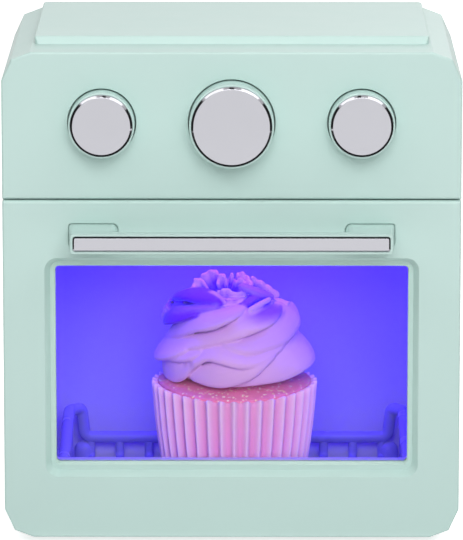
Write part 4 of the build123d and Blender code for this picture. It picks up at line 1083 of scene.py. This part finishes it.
class FRYER_OT_oven(bpy.types.Operator):
    """Finish the cavity and tray, and light them"""

    bl_idname = "fryer.oven"
    bl_label = "Oven and light"

    def execute(self, context):
        oven = settings("oven")
        glow = rgb(oven.glow)
        # Painted light: the lilac tint of the cavity plastic adds the violet lamp's colour.
        tub = moulded_plastic("oven_plastic", rgb(oven.plastic), 0.35, 0.5, 0.006 * MM)
        dress(("oven_tub",), tub)
        # Painted light: the tray's dark violet stands in for the violet lamp light and the shade in
        # the cavity.
        tray = moulded_plastic("tray_plastic", rgb(oven.tray), 0.2, 0.32, 0.004 * MM)
        dress(("fry_basket",), tray)
        dress(("led_chips",), lamp_glow("lit_chip", glow, CHIP_GLOW))
        dress(("light_lens",), lamp_glow("lit_lens", glow, LENS_GLOW))
        low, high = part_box("light_lens")
        lamp = bpy.data.lights.new("oven_lamp", "AREA")
        lamp.shape = "RECTANGLE"
        lamp.size = LAMP_SPREAD[0] * (high.x - low.x)
        lamp.size_y = LAMP_SPREAD[1] * (high.y - low.y)
        lamp.energy = oven.power
        lamp.color = glow
        holder = placed("oven_lamp", lamp)
        holder.location = ((low.x + high.x) / 2, (low.y + high.y) / 2, low.z - LAMP_DROP)
        holder.visible_camera = False
        bpy.data.collections.new("lit_at_front")
        lit = bpy.data.collections.new("lit_by_oven")
        for name in OVEN_NODES:
            lit.objects.link(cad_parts[name])
        for source in (holder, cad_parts["led_chips"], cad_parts["light_lens"]):
            source.light_linking.receiver_collection = lit
        return {"FINISHED"}


class FRYER_OT_hardware(bpy.types.Operator):
    """Finish the screws, pins, springs and running parts"""

    bl_idname = "fryer.hardware"
    bl_label = "Hardware"

    def execute(self, context):
        dress(STEEL_NODES, bright_steel("zinc_steel", (0.62, 0.63, 0.65), 0.22, 0.38))
        dress(SPRING_NODES, bright_steel("spring_steel", (0.55, 0.54, 0.52), 0.25, 0.42))
        for name, colour, low, high, grain, nodes in (
            ("white_acetal", (0.82, 0.82, 0.80), 0.35, 0.5, 0.004, RUNNING_NODES),
            ("switch_white", (0.78, 0.78, 0.76), 0.4, 0.5, 0.003, ("switch_stem",)),
            ("soft_pad", (0.35, 0.37, 0.36), 0.65, 0.8, 0.02, ("foot_pads",)),
        ):
            dress(nodes, moulded_plastic(name, colour, low, high, grain * MM))
        return {"FINISHED"}


class FRYER_OT_electrics(bpy.types.Operator):
    """Finish the boards, switch, cells and battery box"""

    bl_idname = "fryer.electrics"
    bl_label = "Electrics"

    def execute(self, context):
        board = circuit_board("board", (0.02, 0.16, 0.07), (0.05, 0.24, 0.11))
        dress(("switch_board", "led_board"), board)
        black = moulded_plastic("black_plastic", (0.03, 0.03, 0.032), 0.35, 0.5, 0.01 * MM)
        dress(("push_switch", "battery_box"), black)
        wrap = banded_wrap("cell_wrap", (0.03, 0.05, 0.09), (0.62, 0.42, 0.16), shift=0.012)
        dress(("battery_cells",), wrap)
        return {"FINISHED"}


class FRYER_OT_liner(bpy.types.Operator):
    """Pleated liner of the play cupcake"""

    bl_idname = "fryer.liner"
    bl_label = "Cupcake liner"

    def execute(self, context):
        cupcake = settings("cupcake")
        low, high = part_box("cupcake_liner")
        rim_r = (high.x - low.x) / 2 / MM - LINER_SIDE_ROOM
        mesh = pleated_cup((high.z - low.z) / MM - LINER_TOP_ROOM, rim_r)
        mesh.transform(cupcake_place("cupcake_liner"))
        vinyl = liner_vinyl(rgb(cupcake.liner), rgb(cupcake.crest))
        piece = object_of("liner", mesh, vinyl, "cupcake")
        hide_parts("cupcake_liner")
        return {"FINISHED"}


class FRYER_OT_cake(bpy.types.Operator):
    """Glittered cake under the icing"""

    bl_idname = "fryer.cake"
    bl_label = "Cake"

    def execute(self, context):
        low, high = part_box("cupcake_cake")
        rim = (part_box("cupcake_liner")[1].z - low.z) / MM
        mesh = cake_mesh(rim, (high.z - low.z) / MM + CAKE_OVER)
        mesh.transform(cupcake_place("cupcake_cake"))
        crumb = glittered_cake(rgb(settings("cupcake").cake))
        piece = object_of("cake", mesh, crumb, "cupcake")
        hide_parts("cupcake_cake")
        return {"FINISHED"}


class FRYER_OT_icing(bpy.types.Operator):
    """Swirl of piped icing with a ruffled crown"""

    bl_idname = "fryer.icing"
    bl_label = "Icing"

    def execute(self, context):
        cupcake = settings("cupcake")
        mesh = swirl_mesh()
        mesh.transform(cupcake_place("cupcake_frosting"))
        vinyl = icing_vinyl(rgb(cupcake.icing), rgb(cupcake.dye))
        piece = object_of("icing", mesh, vinyl, "cupcake")
        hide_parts("cupcake_frosting")
        return {"FINISHED"}


# Studio: places and sizes in metres, unless their names say otherwise.

FLOOR_HALF = 6.0
FLOOR_CELLS = 24
FLOOR_GLOW = 0.75

LAMP_TARGET = (0.0, 0.0, 0.05)
# Place and size of each lamp; its power is the setting of the same name.
LAMPS = {
    "key": ((0.235, -0.31, 0.485), (0.74, 0.2)),
    "fill": ((-0.22, -0.31, 0.49), (0.62, 0.2)),
    "top": ((-0.1, 0.05, 1.1), (0.8, 0.8)),
    "rear": ((0.5, 1.3, 0.9), (0.9, 0.6)),
    "front": ((0.12, -1.2, 0.64), (0.9, 0.6)),
    "treat": ((0.1, -1.15, 0.36), (0.3, 0.6)),
}
TREAT_COLOUR = (1.0, 0.80, 1.0)

# Corners of the dark flags, which stand where only the plated rims mirror them.
FLAGS = {
    "flag_left": (
        (-0.3, -0.6, 0.0), (-0.3, 0.1, 0.0), (-0.3, 0.1, 0.294), (-0.3, -0.6, 0.294),
    ),
    "flag_right": (
        (0.3, -0.6, 0.0), (0.3, 0.1, 0.0), (0.3, 0.1, 0.25), (0.3, -0.6, 0.25),
    ),
    "flag_low": (
        (-0.3, -0.12, 0.002), (0.3, -0.12, 0.002), (0.3, -0.028, 0.002), (-0.3, -0.028, 0.002),
    ),
    "flag_ledge": (
        (-0.04, -0.042, 0.0685), (0.04, -0.042, 0.0685),
        (0.04, -0.030, 0.0685), (-0.04, -0.030, 0.0685),
    ),
    "flag_over": (
        (-0.02, -0.215, 0.335), (0.02, -0.215, 0.335), (0.02, -0.17, 0.365), (-0.02, -0.17, 0.365),
    ),
}

CAMERA_PLACE_MM = (3.2879, -1025.85, 256.43)
CAMERA_TILT_DEGREES = 78.712
CAMERA_TURN_DEGREES = 0.1906
SENSOR_WIDTH_MM = 36.0
CAMERA_CLIPS = (0.05, 30.0)


def looking_rays(tree):
    """One for the rays that the picture shows: straight, mirrored or passed through."""
    path = tree.nodes.new("ShaderNodeLightPath")
    seen = path.outputs["Is Camera Ray"]
    for name in ("Is Glossy Ray", "Is Transmission Ray"):
        either = tree.nodes.new("ShaderNodeMath")
        either.operation = "MAXIMUM"
        tree.links.new(seen, either.inputs[0])
        tree.links.new(path.outputs[name], either.inputs[1])
        seen = either.outputs[0]
    return seen


def studio_world(strength):
    """Soft surroundings that look white to the camera and in reflections."""
    world = bpy.data.worlds.new("studio")
    bpy.context.scene.world = world
    world.use_nodes = True
    tree = world.node_tree
    tree.nodes.clear()
    level = tree.nodes.new("ShaderNodeMapRange")
    level.inputs["To Min"].default_value = strength
    level.inputs["To Max"].default_value = 1.0
    tree.links.new(looking_rays(tree), level.inputs["Value"])
    background = tree.nodes.new("ShaderNodeBackground")
    background.inputs["Color"].default_value = WHITE
    tree.links.new(level.outputs["Result"], background.inputs["Strength"])
    output = tree.nodes.new("ShaderNodeOutputWorld")
    tree.links.new(background.outputs[0], output.inputs["Surface"])


def floor_finish(colour):
    """Matt white floor that keeps shadows and reads as white to the camera."""
    made = Finish("studio_floor")
    made.mottle(colour, amount=0.01, scale=4.0)
    made.set(roughness=0.9, specular_ior_level=0.1, emission_color=WHITE)
    glow = made.span(looking_rays(made.tree), 0.0, FLOOR_GLOW)
    made.join(glow, made.shader.inputs["Emission Strength"])
    return made.material


def lay_floor(colour):
    """Wide floor under the toy."""
    sheet = bmesh.new()
    bmesh.ops.create_grid(sheet, x_segments=FLOOR_CELLS, y_segments=FLOOR_CELLS, size=FLOOR_HALF)
    mesh = mesh_from(sheet, "floor")
    mesh.materials.append(floor_finish(colour))
    floor = placed("floor", mesh)


def soft_lamp(name, spot, size, power):
    """Large lamp aimed at the toy."""
    light = bpy.data.lights.new(name, "AREA")
    light.shape = "RECTANGLE"
    light.size, light.size_y = size
    light.energy = power
    lamp = placed(name, light)
    lamp.location = spot
    lamp.visible_camera = False
    lamp.rotation_mode = "QUATERNION"
    aim = Vector(LAMP_TARGET) - Vector(spot)
    lamp.rotation_quaternion = aim.to_track_quat("-Z", "Y")
    return lamp


def flag_cloth():
    """Matt black cloth."""
    made = Finish("flag_cloth")
    made.mottle((0.012, 0.012, 0.013), amount=0.1, scale=30.0)
    made.rough(0.8, 0.95, scale=60.0)
    return made.material


def dark_flag(name, corners, cloth):
    """Studio panel that shows only in reflections."""
    sheet = bmesh.new()
    sheet.faces.new([sheet.verts.new(corner) for corner in corners])
    bmesh.ops.subdivide_edges(sheet, edges=sheet.edges, cuts=3, use_grid_fill=True)
    mesh = mesh_from(sheet, name)
    mesh.materials.append(cloth)
    flag = placed(name, mesh)
    flag.visible_camera = False
    flag.visible_diffuse = False
    flag.visible_transmission = False
    flag.visible_shadow = False


def set_camera(scene, lens):
    """Camera of the photo."""
    camera = bpy.data.cameras.new("camera")
    camera.lens = lens
    camera.sensor_width = SENSOR_WIDTH_MM
    camera.clip_start, camera.clip_end = CAMERA_CLIPS
    holder = placed("camera", camera)
    holder.location = tuple(length * MM for length in CAMERA_PLACE_MM)
    tilt, turn = math.radians(CAMERA_TILT_DEGREES), math.radians(CAMERA_TURN_DEGREES)
    holder.rotation_euler = (tilt, 0.0, turn)
    scene.camera = holder


class FRYER_OT_stage(bpy.types.Operator):
    """Floor, surroundings, lamps and camera"""

    bl_idname = "fryer.stage"
    bl_label = "Stage"

    def execute(self, context):
        studio = settings("studio")
        studio_world(studio.ambient)
        lay_floor(rgb(studio.floor))
        lamps = {
            name: soft_lamp(name + "_lamp", spot, size, getattr(studio, name))
            for name, (spot, size) in LAMPS.items()
        }
        treat = lamps["treat"]
        treat.data.color = TREAT_COLOUR
        treat.light_linking.receiver_collection = bpy.data.collections["lit_at_front"]
        cloth = flag_cloth()
        for name, corners in FLAGS.items():
            dark_flag(name, corners, cloth)
        set_camera(context.scene, studio.lens)
        context.scene.view_settings.view_transform = "Standard"
        return {"FINISHED"}


PIECES = (
    FRYER_OT_casing,
    FRYER_OT_chrome,
    FRYER_OT_window,
    FRYER_OT_oven,
    FRYER_OT_hardware,
    FRYER_OT_electrics,
    FRYER_OT_liner,
    FRYER_OT_cake,
    FRYER_OT_icing,
    FRYER_OT_stage,
)


class FRYER_PT_panel(bpy.types.Panel):
    """Sidebar list of the toy's pieces and their settings"""

    bl_idname = "FRYER_PT_panel"
    bl_label = "Toy Air Fryer"
    bl_space_type = "VIEW_3D"
    bl_region_type = "UI"
    bl_category = "Toy Fryer"

    def draw(self, context):
        for group in GROUPS:
            box = self.layout.box()
            held = getattr(context.scene, group)
            for key in held.__annotations__:
                box.prop(held, key)
        for piece in PIECES:
            self.layout.operator(piece.bl_idname)


def register():
    for name, group in GROUPS.items():
        bpy.utils.register_class(group)
        setattr(bpy.types.Scene, name, bpy.props.PointerProperty(type=group))
    for piece in PIECES:
        bpy.utils.register_class(piece)
    bpy.utils.register_class(FRYER_PT_panel)


def unregister():
    bpy.utils.unregister_class(FRYER_PT_panel)
    for piece in reversed(PIECES):
        bpy.utils.unregister_class(piece)
    for name, group in GROUPS.items():
        delattr(bpy.types.Scene, name)
        bpy.utils.unregister_class(group)


def main():
    register()
    for piece in PIECES:
        group, name = piece.bl_idname.split(".")
        getattr(getattr(bpy.ops, group), name)()


if __name__ == "__main__":
    main()
